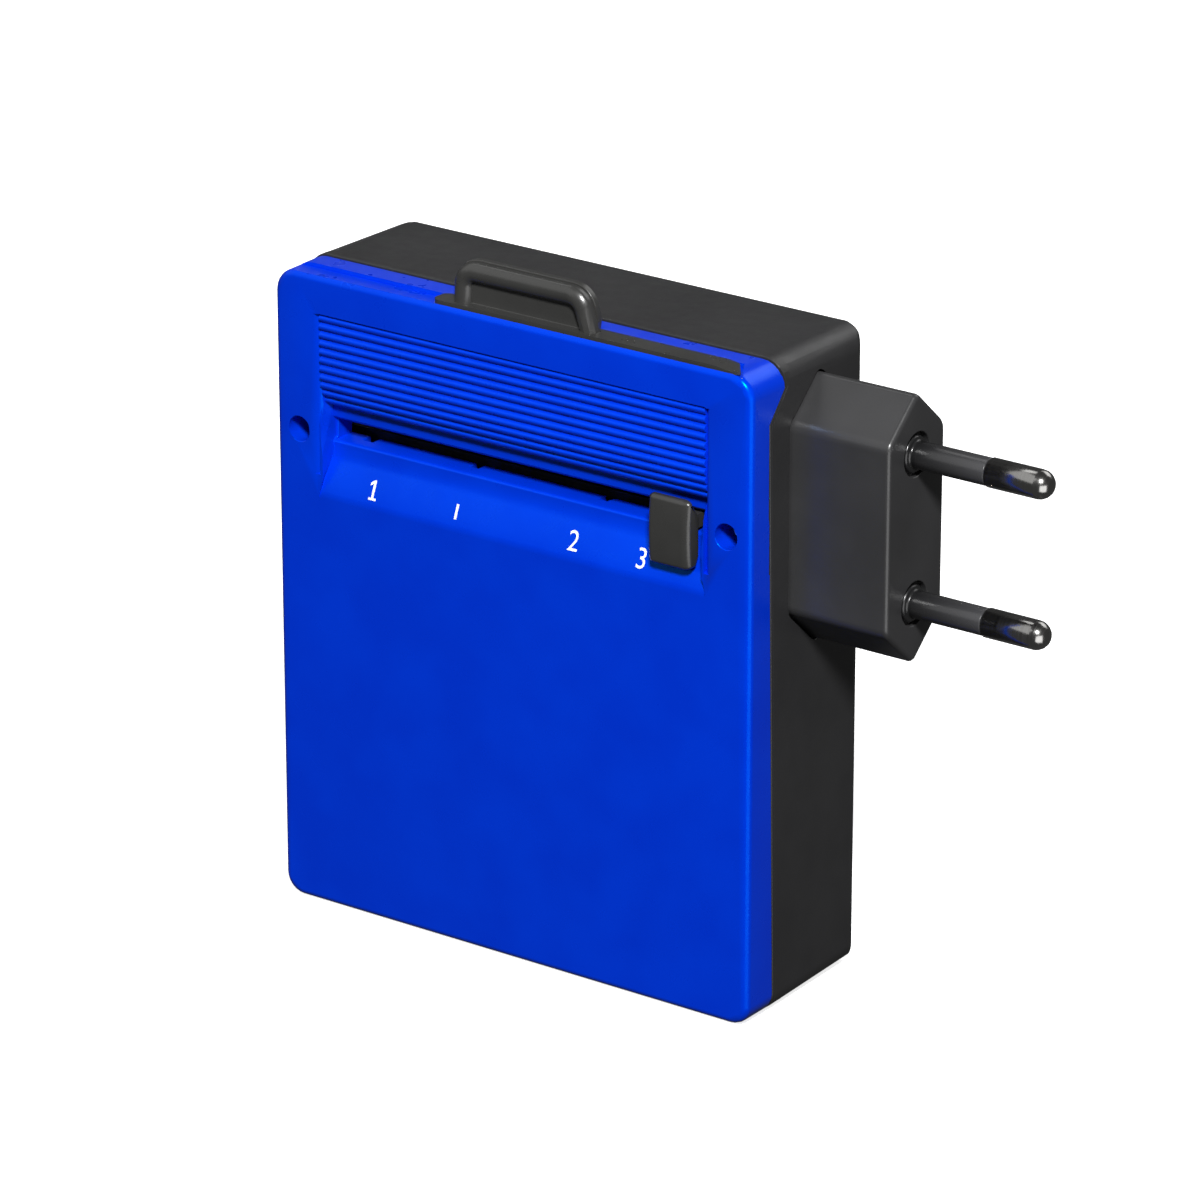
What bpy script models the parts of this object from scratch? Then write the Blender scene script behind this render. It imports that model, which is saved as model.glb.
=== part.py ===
"""A universal travel adapter with a sliding plug selector.

The housing is a blue front cover closed onto a charcoal rear shell. Behind the selector slot a carriage
runs along X between a shelf and the top wall. It carries the selector knob, the two-pin European plug,
which leaves through the right wall, and the two flat blades, which leave through the left wall and twist
together. A second carriage below the shelf carries the three rectangular British pins and slides out
through the back wall. A strip with a finger grip slides in a groove along the top edge of the cover.

Frame: metres, +Z up, +X towards the European plug, -Y is the front face. The origin is the centre of
the bottom face. Depths are measured back from the front face, heights up from the bottom face.
"""

import math

import bmesh
import bpy
from mathutils import Matrix

MM = 0.001

# Housing
WIDTH = 70.2 * MM
HEIGHT = 82.8 * MM
DEPTH = 24.4 * MM
CORNER = 2.7 * MM
CORNER_TOP = 3.2 * MM
WALL = 1.6 * MM
BACK_EDGE = 0.6 * MM
BACK_CORNER = 2.4 * MM
DRAFT_SIDE = 0.25 * MM
DRAFT_TOP = 0.5 * MM
DRAFT_BOTTOM = 0.4 * MM
DRAFT_START = 3.0 * MM
FRONT_EDGE = 0.9 * MM
GAP = 0.3 * MM
PAST = 2.0 * MM

# Flat land that the adapter stands on, beside the socket
LAND_LEFT = -31.0 * MM
LAND_RIGHT = 1.7 * MM
LAND_FRONT = 7.6 * MM
LAND_BACK = 20.4 * MM
LAND_THICK = 1.0 * MM

# Parting line between the cover and the shell, as depths at three heights
SEAM_BOTTOM = 5.4 * MM
SEAM_SIDE = 3.5 * MM
SEAM_TOP = 6.7 * MM
SEAM_TOP_DROP = 3.3 * MM
SEAM_SIDE_DROP = 7.1 * MM
SEAM_GAP = 0.22 * MM
RIM_WIDTH = 0.4 * MM
RIM_STEP = 0.1 * MM
COVER_INSET = 0.1 * MM
COVER_TOP_INSET = 0.3 * MM

# Plug selector: slot, stations and the two plugs that ride on the carriage
PLUG_Z = 62.75 * MM
PLUG_HEADROOM = 20.05 * MM
PLUG_DEPTH = 14.0 * MM
STATION_MARGIN = 11.0 * MM
STATION_EUROPE = WIDTH / 2 - STATION_MARGIN
STATION_BRITISH = 11.0 * MM
STATION_STOWED = -8.1 * MM
STATION_AMERICAN = -STATION_EUROPE
SLOT_Z = 62.3 * MM
SLOT_BELOW = 1.2 * MM
SLOT_ABOVE = 1.5 * MM
SLOT_LIP = 0.3 * MM
SLOT_END_GAP = 0.4 * MM
SLOT_RIGHT_END = STATION_EUROPE + 4.05 * MM
KNOB_LEFT = 3.15 * MM
KNOB_RIGHT = 2.75 * MM
KNOB_HEIGHT = 9.3 * MM
KNOB_DROP = 0.9 * MM
KNOB_PROUD = 0.65 * MM
KNOB_BOW = 0.45 * MM
KNOB_SLANT = 1.9 * MM
KNOB_ROUND = 1.1 * MM
KNOB_EDGE = 0.35 * MM
STEM_WIDTH = 4.2 * MM
STEM_THICK = 1.7 * MM
STEM_RISE = 0.2 * MM
NOTCH_WIDTH = 1.4 * MM
NOTCH_DEPTH = 1.5 * MM
NOTCH_DROP = 0.8 * MM
NOTCH_RISE = 1.5 * MM

# Scooped panel with finger ribs round the slot
SCOOP_MARGIN = 6.5 * MM
SCOOP_WIDTH = WIDTH - 2 * SCOOP_MARGIN
SCOOP_DEPTH = 2.2 * MM
SCOOP_TOP_DROP = 5.1 * MM
SCOOP_SIDE_DRAFT = 0.3
SCOOP_LIP = 0.45 * MM
SCOOP_LIP_BOTTOM = 57.0 * MM
SCOOP_BAND_TOP = 65.8 * MM
SCOOP_BAND_BOTTOM = 59.4 * MM
SCOOP_BOTTOM = 54.0 * MM
RIB_COUNT = 11
RIB_GROOVE = 0.5 * MM
RIB_PROFILE = ((0.0, 1.0), (0.14, 1.0), (0.26, 0.55), (0.42, 0.22), (0.58, 0.16), (0.74, 0.22), (0.9, 0.55))
RIB_FALL = 3.9 * MM
PAD_WALL = 1.8 * MM
LEDGE_BACK = 5.6 * MM

# Cover screws
SCREW_MARGIN = 3.6 * MM
SCREW_X = WIDTH / 2 - SCREW_MARGIN
SCREW_HOLE_RADIUS = 1.6 * MM
SCREW_HEAD_RADIUS = 1.35 * MM
SCREW_SHANK_RADIUS = 0.85 * MM
SCREW_HEAD_SEAT = 4.2 * MM
SCREW_HEAD_THICK = 1.1 * MM
BOSS_WALL = 1.0 * MM
BOSS_BACK = 7.8 * MM
BAFFLE_FRONT = 7.0 * MM
BAFFLE_BACK = 7.7 * MM

# Carriage
RUN_GAP = 0.3 * MM
CARRIAGE_TOP = PLUG_Z + PLUG_HEADROOM - WALL - RUN_GAP
CARRIAGE_BOTTOM = 2 * PLUG_Z - CARRIAGE_TOP
SHELF_TOP = CARRIAGE_BOTTOM - RUN_GAP
SHELF_THICK = 1.5 * MM
CARRIAGE_FRONT = 8.1 * MM
CARRIAGE_BACK = 19.9 * MM
CARRIAGE_LENGTH = 8.8 * MM
CARRIAGE_ARM = 1.1 * MM
SCREW_SINK = 0.7 * MM
ARM_END_GAP = 1.6 * MM
RETAINER_THICK = 1.5 * MM
LEFT_STOP_GAP = 0.5 * MM

# European plug
BLOCK_REACH = 13.6 * MM
BLOCK_THICK = 11.8 * MM
BLOCK_FLAT = 23.4 * MM
BLOCK_HEIGHT = 33.9 * MM
BLOCK_EDGE = 0.6 * MM
BLOCK_CORNER = 0.9 * MM
BLOCK_SOFT = 2.0 * MM
OPENING_GAP = 0.3 * MM
PIN_SPACING = 18.6 * MM
PIN_RADIUS = 1.8 * MM
PIN_REACH = 18.6 * MM
PIN_NECK_RADIUS = 1.05 * MM
SLEEVE_RADIUS = 1.7 * MM
SLEEVE_BORE_RADIUS = 1.3 * MM
SLEEVE_REACH = 10.0 * MM
PIN_RECESS_RADIUS = 2.75 * MM
PIN_RECESS_DEPTH = 0.9 * MM
SLEEVE_FLANGE_RADIUS = 2.3 * MM
SLEEVE_FLANGE_THICK = 0.75 * MM

# Flat blades on twisting barrels
BLADE_SPACING = 12.7 * MM
BLADE_WIDTH = 6.3 * MM
BLADE_THICK = 1.5 * MM
STUD_RADIUS = 0.7 * MM
BARREL_RADIUS = 4.7 * MM
BARREL_NECK_RADIUS = 4.1 * MM
GEAR_PITCH_TEETH = 24
GEAR_ADDENDUM = 0.5 * MM
GEAR_DEDENDUM = 0.65 * MM
GEAR_TOOTH_SHARE = 0.34
GEAR_WIDTH = 2.4 * MM

# British plug
BRITISH_X = -17.6 * MM
BRITISH_ROW_Z = 12.0 * MM
BRITISH_PITCH = 22.2 * MM
BRITISH_PIN_WIDTH = 6.35 * MM
BRITISH_PIN_THICK = 4.0 * MM
BRITISH_EARTH_HEIGHT = 8.0 * MM
BRITISH_PLATE_THICK = 2.0 * MM
BRITISH_PLATE_MARGIN = 1.1 * MM
BRITISH_TRAVEL = 17.0 * MM
BRITISH_POST_RADIUS = 1.5 * MM

# Two-pole socket in the bottom wall, with its fuse
SOCKET_X = 17.0 * MM
SOCKET_DEPTH = 14.5 * MM
SOCKET_LENGTH = 28.0 * MM
SOCKET_BREADTH = 13.0 * MM
SOCKET_ROUND_SPACING = 19.0 * MM
SOCKET_ROUND_RADIUS = 2.6 * MM
SOCKET_SLOT_WIDTH = 1.9 * MM
SOCKET_SLOT_LENGTH = 7.2 * MM
SOCKET_FLANGE = 1.0 * MM
CONTACT_THICK = 0.5 * MM
CONTACT_HEIGHT = 17.0 * MM
FUSE_RADIUS = 2.6 * MM
FUSE_LENGTH = 20.0 * MM
FUSE_Z = 31.0 * MM

# Brass bars that feed the carriage
BAR_THICK = 0.4 * MM
BAR_HEIGHT = 3.0 * MM

# Strip with the finger grip
STRIP_LEFT = -11.8 * MM
STRIP_END_MARGIN = 2.1 * MM
STRIP_RIGHT = WIDTH / 2 - STRIP_END_MARGIN
STRIP_SLANT = 2.1 * MM
STRIP_WIDTH = 2.85 * MM
STRIP_THICK = 0.7 * MM
STRIP_LIFT = 0.15 * MM
STRIP_FRONT = 0.65 * MM
STRIP_TRAVEL = 17.0 * MM
GROOVE_DEPTH = 0.55 * MM
GROOVE_FLOOR = 1.15 * MM
KEY_LEFT = 5.8 * MM
KEY_LENGTH = 14.0 * MM
KEY_THICK = 0.8 * MM
FOOT_THICK = 0.65 * MM
GROOVE_GAP = 0.2 * MM
GRIP_LEFT = -7.9 * MM
GRIP_RIGHT = 9.15 * MM
GRIP_SPLAY = 1.4 * MM
GRIP_RISE = 3.95 * MM
GRIP_RADIUS = 1.25 * MM
GRIP_HALF_DEPTH = 1.15 * MM
GRIP_BEND = 1.9 * MM
GRIP_DEPTH = 2.2 * MM
GRIP_WEB_FRONT = 2.1 * MM
GRIP_FLANGE = 0.14 * MM
GRIP_FLANGE_FRONT = 2.7 * MM
GRIP_FLANGE_BACK = 3.45 * MM

# Places worked out from the sizes above
FRONT_Y = -DEPTH / 2
HALF_WIDTH = WIDTH / 2
INNER_X = HALF_WIDTH - WALL
INNER_BACK = DEPTH - WALL
KNOB_TRAVEL = STATION_EUROPE - STATION_AMERICAN
STATIONS = (STATION_EUROPE, STATION_BRITISH, STATION_STOWED, STATION_AMERICAN)
SLOT_LEFT_END = STATION_AMERICAN - KNOB_LEFT - SLOT_END_GAP
SLOT_BOTTOM = SLOT_Z - SLOT_BELOW
SLOT_TOP = SLOT_Z + SLOT_ABOVE
RETAINER_LEFT = KNOB_TRAVEL - INNER_X + LEFT_STOP_GAP
CARRIAGE_LEFT = RETAINER_LEFT + RETAINER_THICK + RUN_GAP
CARRIAGE_RIGHT = CARRIAGE_LEFT + CARRIAGE_LENGTH
BARREL_LEFT = CARRIAGE_LEFT + 0.2 * MM
BARREL_RIGHT = BARREL_LEFT + 7.0 * MM
BORE_RIGHT = BARREL_RIGHT + RUN_GAP
PLATE_LEFT = CARRIAGE_RIGHT + 0.25 * MM
BLOCK_LEFT = PLATE_LEFT + BAR_THICK + 0.35 * MM
BLOCK_RIGHT = HALF_WIDTH + BLOCK_REACH
STOWED_TRAVEL = STATION_EUROPE - STATION_STOWED
BLADE_TIP = STOWED_TRAVEL - HALF_WIDTH + 0.1 * MM
BAR_BACK = INNER_BACK - 0.2 * MM
BAR_FRONT = BAR_BACK - BAR_THICK
WIPER_BACK = BAR_FRONT - RUN_GAP
GROOVE_FLOOR_Z = HEIGHT - COVER_TOP_INSET - GROOVE_DEPTH
COVER_CEILING = GROOVE_FLOOR_Z - GROOVE_FLOOR


def deep(depth):
    """Y of a place that lies this far behind the front face."""
    return FRONT_Y + depth


# --- Collections and materials -----------------------------------------------------------------------

for old in list(bpy.data.objects):
    bpy.data.objects.remove(old, do_unlink=True)

parts = bpy.data.collections.new("travel_adapter")
cutters = bpy.data.collections.new("cutters")
bpy.context.scene.collection.children.link(parts)
bpy.context.scene.collection.children.link(cutters)


def plain_material(name, colour, roughness, metallic=0.0):
    """A Principled material of one colour, given as linear red, green and blue."""
    material = bpy.data.materials.new(name)
    material.use_nodes = True
    shader = material.node_tree.nodes["Principled BSDF"]
    shader.inputs["Base Color"].default_value = (*colour, 1.0)
    shader.inputs["Roughness"].default_value = roughness
    shader.inputs["Metallic"].default_value = metallic
    return material


BLUE = plain_material("blue_plastic", (0.0, 0.03, 0.62), 0.32)
CHARCOAL = plain_material("charcoal_plastic", (0.035, 0.035, 0.034), 0.42)
BLACK = plain_material("black_nylon", (0.008, 0.008, 0.009), 0.25)
PALE = plain_material("pale_nylon", (0.55, 0.53, 0.48), 0.5)
NICKEL = plain_material("nickel_plate", (0.72, 0.71, 0.69), 0.2, 1.0)
BRASS = plain_material("brass", (0.72, 0.5, 0.2), 0.3, 1.0)
STEEL = plain_material("spring_steel", (0.5, 0.5, 0.52), 0.3, 1.0)
GLASS = plain_material("fuse_glass", (0.75, 0.78, 0.76), 0.1)


# --- Shape tools -------------------------------------------------------------------------------------

def add_object(name, mesh, material=None, cutter=False):
    """Links a mesh as a named part, or as a hidden cutter."""
    obj = bpy.data.objects.new(name, mesh)
    if cutter:
        cutters.objects.link(obj)
        obj.hide_render = True
        obj.display_type = "WIRE"
    else:
        parts.objects.link(obj)
        mesh.materials.append(material)
    return obj


def block(name, x, depth, z, material=None, cutter=False, corner=0.0, front=0.0, back=0.0):
    """A box between two values on each axis. front and back round its rims.

    corner rounds the edges along Y, with one radius or with one for the bottom and one for the top.
    """
    form = box_form(x, depth, z)
    if corner:
        middle = (z[0] + z[1]) / 2
        for above, radius in enumerate(corner if isinstance(corner, tuple) else (corner, corner)):
            edges = [e for e in along_y(form) if (e.verts[0].co.z > middle) == bool(above)]
            round_edges(form, edges, radius, 6)
    if front:
        round_edges(form, rim_at(form, deep(depth[0])), front, 3)
    if back:
        round_edges(form, rim_at(form, deep(depth[1])), back, 2)
    return mesh_object(name, form, material, cutter)


def box_form(x, depth, z):
    form = bmesh.new()
    bmesh.ops.create_cube(form, size=1.0)
    size = (x[1] - x[0], depth[1] - depth[0], z[1] - z[0])
    centre = ((x[0] + x[1]) / 2, deep((depth[0] + depth[1]) / 2), (z[0] + z[1]) / 2)
    bmesh.ops.transform(form, matrix=Matrix.Translation(centre) @ Matrix.Diagonal((*size, 1.0)), verts=form.verts)
    return form


def along_y(form):
    """The edges that run along Y."""
    return [e for e in form.edges if abs((e.verts[0].co - e.verts[1].co).normalized().y) > 0.99]


def rim_at(form, y):
    """The edges that lie in the plane at this Y."""
    return [e for e in form.edges if all(abs(v.co.y - y) < 1e-6 for v in e.verts)]


def round_edges(form, edges, radius, segments):
    """Bevels the given edges to a round."""
    bmesh.ops.bevel(form, geom=edges, offset=radius, segments=segments, profile=0.5, affect="EDGES",
                    clamp_overlap=True)


def mesh_object(name, form, material=None, cutter=False):
    """Turns a bmesh into an object whose faces point out."""
    bmesh.ops.recalc_face_normals(form, faces=form.faces)
    mesh = bpy.data.meshes.new(name)
    form.to_mesh(mesh)
    form.free()
    return add_object(name, mesh, material, cutter)


AXIS_TURNS = {
    "X": Matrix(((0, 0, 1), (1, 0, 0), (0, 1, 0))).to_4x4(),
    "Y": Matrix(((1, 0, 0), (0, 0, -1), (0, 1, 0))).to_4x4(),
    "Z": Matrix.Identity(4),
}


def prism(name, outlines, axis, start, end, material=None, cutter=False):
    """A flat outline pushed along an axis: (y, z) points for X, (x, z) for Y and (x, y) for Z.

    Inner outlines become holes.
    """
    curve = bpy.data.curves.new(name, "CURVE")
    curve.dimensions = "2D"
    curve.fill_mode = "BOTH"
    curve.extrude = (end - start) / 2
    for outline in outlines:
        spline = curve.splines.new("POLY")
        spline.points.add(len(outline) - 1)
        for point, (u, v) in zip(spline.points, outline):
            point.co = (u, v, 0.0, 1.0)
        spline.use_cyclic_u = True
    guide = bpy.data.objects.new(name, curve)
    cutters.objects.link(guide)
    middle = (start + end) / 2
    along = {"X": (middle, 0, 0), "Y": (0, middle, 0), "Z": (0, 0, middle)}[axis]
    guide.matrix_world = Matrix.Translation(along) @ AXIS_TURNS[axis]
    bpy.context.view_layer.update()
    mesh = bpy.data.meshes.new_from_object(guide.evaluated_get(bpy.context.evaluated_depsgraph_get()))
    turn = guide.matrix_world.copy()
    bpy.data.objects.remove(guide, do_unlink=True)
    form = bmesh.new()
    form.from_mesh(mesh)
    bpy.data.meshes.remove(mesh)
    bmesh.ops.transform(form, matrix=turn, verts=form.verts)
    bmesh.ops.remove_doubles(form, verts=form.verts, dist=1e-6)
    return mesh_object(name, form, material, cutter)


def turned(name, profile, centre, axis="X", segments=20, material=None, cutter=False):
    """A solid of revolution from (distance along the axis, radius) pairs.

    A profile that starts on the axis ends on it, and any other one closes on itself as a ring.
    """
    form = bmesh.new()
    verts = [form.verts.new((radius, 0.0, place)) for place, radius in profile]
    edges = [form.edges.new(pair) for pair in zip(verts, verts[1:])]
    if profile[0][1] > 0.0:
        edges.append(form.edges.new((verts[-1], verts[0])))
    bmesh.ops.spin(form, geom=verts + edges, cent=(0, 0, 0), axis=(0, 0, 1), angle=math.tau, steps=segments)
    bmesh.ops.remove_doubles(form, verts=form.verts, dist=1e-6)
    turn = Matrix.Translation(centre) @ AXIS_TURNS[axis]
    bmesh.ops.transform(form, matrix=turn, verts=form.verts)
    obj = mesh_object(name, form, material, cutter)
    obj.data.shade_smooth()
    obj.data.set_sharp_from_angle(angle=math.radians(35))
    return obj


def rod(name, centre, axis, start, end, radius, segments=20, material=None, cutter=False):
    """A round bar along an axis, between two distances from its centre."""
    profile = [(start, 0.0), (start, radius), (end, radius), (end, 0.0)]
    return turned(name, profile, centre, axis, segments, material, cutter)


def boolean(target, other, operation):
    """Cuts with or joins another object, which becomes a hidden guide."""
    modifier = target.modifiers.new(other.name, "BOOLEAN")
    modifier.operation = operation
    modifier.solver = "EXACT"
    modifier.object = other
    if other.name not in cutters.objects:
        parts.objects.unlink(other)
        cutters.objects.link(other)
    other.hide_render = True
    other.display_type = "WIRE"


def cut(target, *others):
    for other in others:
        boolean(target, other, "DIFFERENCE")


def join(target, *others):
    for other in others:
        boolean(target, other, "UNION")


def ring(centre_u, centre_v, radius, segments=20):
    """The points of a circle in an outline's plane."""
    steps = [math.tau * i / segments for i in range(segments)]
    return [(centre_u + radius * math.cos(a), centre_v + radius * math.sin(a)) for a in steps]


def rectangle(u0, u1, v0, v1):
    return [(u0, v0), (u1, v0), (u1, v1), (u0, v1)]


def rounded(corners, radius, grow, segments=4):
    """A convex outline with rounded corners, moved outwards by grow. The corners run anticlockwise."""
    count = len(corners)
    radii = radius if isinstance(radius, tuple) else (radius,) * count
    sides = []
    for i in range(count):
        (u0, v0), (u1, v1) = corners[i], corners[(i + 1) % count]
        length = math.hypot(u1 - u0, v1 - v0)
        sides.append(((u1 - u0) / length, (v1 - v0) / length))
    outline = []
    for i, (u, v) in enumerate(corners):
        radius = radii[i]
        (au, av), (bu, bv) = sides[i - 1], sides[i]
        start = math.atan2(-au, av)
        turn = math.atan2(au * bv - av * bu, au * bu + av * bv)
        back = radius / math.cos(turn / 2)
        middle = start + turn / 2
        centre = (u - back * math.cos(middle), v - back * math.sin(middle))
        for step in range(segments + 1):
            angle = start + turn * step / segments
            outline.append((centre[0] + (radius + grow) * math.cos(angle),
                            centre[1] + (radius + grow) * math.sin(angle)))
    return outline


# --- Housing -----------------------------------------------------------------------------------------

def seam_line(offset):
    """The parting line seen from the side, bottom to top, moved back by an offset."""
    return [
        (deep(SEAM_BOTTOM + offset), -PAST),
        (deep(SEAM_SIDE + offset), HEIGHT - SEAM_SIDE_DROP),
        (deep(SEAM_TOP + offset), HEIGHT - SEAM_TOP_DROP),
        (deep(SEAM_TOP + offset), HEIGHT + PAST),
    ]


def before_seam(name, offset):
    """Everything in front of the parting line."""
    outline = seam_line(offset) + [(deep(-PAST), HEIGHT + PAST), (deep(-PAST), -PAST)]
    return prism(name, [outline], "X", -WIDTH, WIDTH, cutter=True)


def behind_seam(name):
    """Everything behind the parting line."""
    outline = seam_line(0.0) + [(deep(DEPTH + PAST), HEIGHT + PAST), (deep(DEPTH + PAST), -PAST)]
    return prism(name, [outline], "X", -WIDTH, WIDTH, cutter=True)


def scoop_outline():
    """The scooped panel seen from the side, with its ribs running down into the hollow.

    The rib crests stay level with the face and then fall away along a parabola.
    """
    top = HEIGHT - SCOOP_TOP_DROP
    rib_height = (top - SCOOP_BAND_TOP) / RIB_COUNT
    fall_start = SCOOP_BAND_TOP + RIB_FALL
    steepness = (SCOOP_DEPTH - 2 * RIB_GROOVE) / RIB_FALL ** 2

    def crest(z):
        return steepness * max(0.0, fall_start - z) ** 2

    line = [(deep(-PAST), top)]
    for rib in range(RIB_COUNT):
        for share, sink in RIB_PROFILE:
            z = top - (rib + share) * rib_height
            line.append((deep(crest(z) + sink * RIB_GROOVE), z))
    line.append((deep(SCOOP_DEPTH - 0.5 * RIB_GROOVE), SCOOP_BAND_TOP))
    line.append((deep(SCOOP_DEPTH), SCOOP_BAND_TOP - 0.4 * MM))
    line.append((deep(SCOOP_DEPTH), SCOOP_BAND_BOTTOM))
    for step in range(1, 7):
        share = step / 6
        z = SCOOP_BAND_BOTTOM + (SCOOP_BOTTOM - SCOOP_BAND_BOTTOM) * share
        line.append((deep(SCOOP_DEPTH * (1 - share) ** 1.15), z))
    line.append((deep(-PAST), SCOOP_BOTTOM - 0.3 * MM))
    return line


def strip_plan(left, right, grow):
    """The strip's straight part seen from above, with its slanted right end."""
    front = deep(STRIP_FRONT - grow)
    back = deep(STRIP_FRONT + STRIP_WIDTH + grow)
    return [(left, front), (right, front), (right - STRIP_SLANT, back), (left, back)]


def make_front_cover():
    half = HALF_WIDTH - COVER_INSET
    cover = block("front_cover", (-half, half), (0, SEAM_TOP + PAST), (COVER_INSET, HEIGHT - COVER_TOP_INSET),
                  BLUE, corner=(CORNER - COVER_INSET, CORNER_TOP - COVER_INSET), front=FRONT_EDGE)
    inner = half - WALL + 0.1 * MM
    cut(cover,
        block("cover_hollow", (-inner, inner), (WALL, SEAM_TOP + 2 * PAST),
              (COVER_INSET + WALL - 0.1 * MM, COVER_CEILING), cutter=True, corner=CORNER - WALL),
        behind_seam("cover_seam"))
    pad = SCOOP_WIDTH / 2 + 1.6 * MM
    tube = SCREW_HOLE_RADIUS + BOSS_WALL
    join(cover,
         block("scoop_backing", (-pad, pad), (WALL - 0.5 * MM, SCOOP_DEPTH + PAD_WALL),
               (SCOOP_BOTTOM - 1.5 * MM, COVER_CEILING - 1.5 * MM), cutter=True),
         block("slot_rails", (SLOT_LEFT_END - 0.9 * MM, SLOT_RIGHT_END + 0.7 * MM),
               (SCOOP_DEPTH + 1.0 * MM, LEDGE_BACK),
               (SLOT_BOTTOM - 2.0 * MM, SLOT_TOP + 2.0 * MM), cutter=True))
    for side in (-1, 1):
        tube_centre = (side * SCREW_X, FRONT_Y, SLOT_Z)
        join(cover, rod(f"cover_tube_{side}", tube_centre, "Y", -SCREW_HEAD_SEAT - 1.2 * MM, -1.0 * MM,
                        tube, 16, cutter=True))
    for side in (-1, 1):
        hook_x = side * 22.0 * MM
        join(cover, block(f"cover_hook_{side}", (hook_x - 2.5 * MM, hook_x + 2.5 * MM), (1.0 * MM, 7.0 * MM),
                          (WALL + 0.4 * MM, WALL + 1.3 * MM), cutter=True))
    for side in (-1, 1):
        outside = sorted((side * (INNER_X - GAP), side * WIDTH))
        cut(cover, block(f"cover_tube_trim_{side}", outside, (SEAM_SIDE + 0.3 * MM, BOSS_BACK),
                         (SLOT_Z - 2 * tube, SLOT_Z + 2 * tube), cutter=True))
    scoop = prism("scoop_cut", [scoop_outline()], "X", -SCOOP_WIDTH / 2, SCOOP_WIDTH / 2, cutter=True)
    for vertex in scoop.data.vertices:
        lean = SCOOP_SIDE_DRAFT * (vertex.co.y - FRONT_Y)
        vertex.co.x -= math.copysign(lean, vertex.co.x)
    edge = SCOOP_WIDTH / 2
    lip = [(edge - 0.3 * MM, -SCOOP_LIP), (edge + 2 * SCOOP_LIP, -SCOOP_LIP),
           (edge - 0.3 * MM, SCOOP_LIP + 0.3 * MM)]
    lip_front, lip_back = deep(SCOOP_DEPTH - SLOT_LIP), deep(SCOOP_DEPTH + 2 * SLOT_LIP)
    slot_lips = [(lip_front, SLOT_BOTTOM - 2 * SLOT_LIP), (lip_back, SLOT_BOTTOM + SLOT_LIP),
                 (lip_back, SLOT_TOP - SLOT_LIP), (lip_front, SLOT_TOP + 2 * SLOT_LIP)]
    cut(cover, scoop,
        *(prism(f"scoop_lip_{side}", [[(side * x, deep(depth)) for x, depth in lip]], "Z", SCOOP_LIP_BOTTOM,
                HEIGHT - SCOOP_TOP_DROP - 0.1 * MM, cutter=True) for side in (-1, 1)),
        prism("slot_lips", [slot_lips], "X", SLOT_LEFT_END - SLOT_LIP, SLOT_RIGHT_END - 0.6 * MM, cutter=True),
        block("slot_cut", (SLOT_LEFT_END, SLOT_RIGHT_END), (0, LEDGE_BACK + PAST), (SLOT_BOTTOM, SLOT_TOP),
              cutter=True))
    for index, station in enumerate(STATIONS):
        cut(cover, block(f"notch_{index}", (station - NOTCH_WIDTH / 2, station + NOTCH_WIDTH / 2),
                         (LEDGE_BACK - NOTCH_DEPTH, LEDGE_BACK + PAST),
                         (SLOT_BOTTOM - NOTCH_DROP, SLOT_TOP + NOTCH_RISE), cutter=True))
    for side in (-1, 1):
        centre = (side * SCREW_X, FRONT_Y, SLOT_Z)
        profile = [(PAST, 0.0), (PAST, SCREW_HOLE_RADIUS), (-SCREW_HEAD_SEAT, SCREW_HOLE_RADIUS),
                   (-SCREW_HEAD_SEAT, SCREW_SHANK_RADIUS + 0.25 * MM),
                   (-BOSS_BACK, SCREW_SHANK_RADIUS + 0.25 * MM), (-BOSS_BACK, 0.0)]
        cut(cover, turned(f"cover_screw_hole_{side}", profile, centre, "Y", 24, cutter=True))
    key_right = KEY_LEFT + KEY_LENGTH
    key_middle = STRIP_FRONT + STRIP_WIDTH / 2
    cut(cover,
        prism("strip_groove", [strip_plan(-WIDTH, STRIP_RIGHT + 0.35 * MM, GROOVE_GAP)], "Z",
              GROOVE_FLOOR_Z, HEIGHT + PAST, cutter=True),
        block("key_slot", (KEY_LEFT - STRIP_TRAVEL - GAP, key_right + GAP),
              (key_middle - KEY_THICK / 2 - GAP, key_middle + KEY_THICK / 2 + GAP),
              (COVER_CEILING - PAST, HEIGHT), cutter=True))
    return cover


def block_outline(grow):
    """The European plug's long hexagon, seen from its pins."""
    thick, flat, tall = BLOCK_THICK / 2, BLOCK_FLAT / 2, BLOCK_HEIGHT / 2
    middle = deep(PLUG_DEPTH)
    corners = [(middle - thick, PLUG_Z - flat), (middle, PLUG_Z - tall), (middle + thick, PLUG_Z - flat),
               (middle + thick, PLUG_Z + flat), (middle, PLUG_Z + tall), (middle - thick, PLUG_Z + flat)]
    soft, tip = BLOCK_SOFT, BLOCK_CORNER
    return rounded(corners, (soft, tip, soft, soft, tip, soft), grow)


def british_pins():
    """Name, x, z, width and height of each British pin."""
    row = BRITISH_ROW_Z
    return [("uk_pin_live", BRITISH_X - BRITISH_PITCH / 2, row, BRITISH_PIN_WIDTH, BRITISH_PIN_THICK),
            ("uk_pin_neutral", BRITISH_X + BRITISH_PITCH / 2, row, BRITISH_PIN_WIDTH, BRITISH_PIN_THICK),
            ("uk_pin_earth", BRITISH_X, row + BRITISH_PITCH, BRITISH_PIN_THICK, BRITISH_EARTH_HEIGHT)]


def british_posts():
    """Where the two guide posts of the British carriage stand, as (x, z)."""
    z = BRITISH_ROW_Z + BRITISH_PITCH
    return [(BRITISH_X - 10.4 * MM, z), (BRITISH_X + 10.4 * MM, z)]


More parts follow.
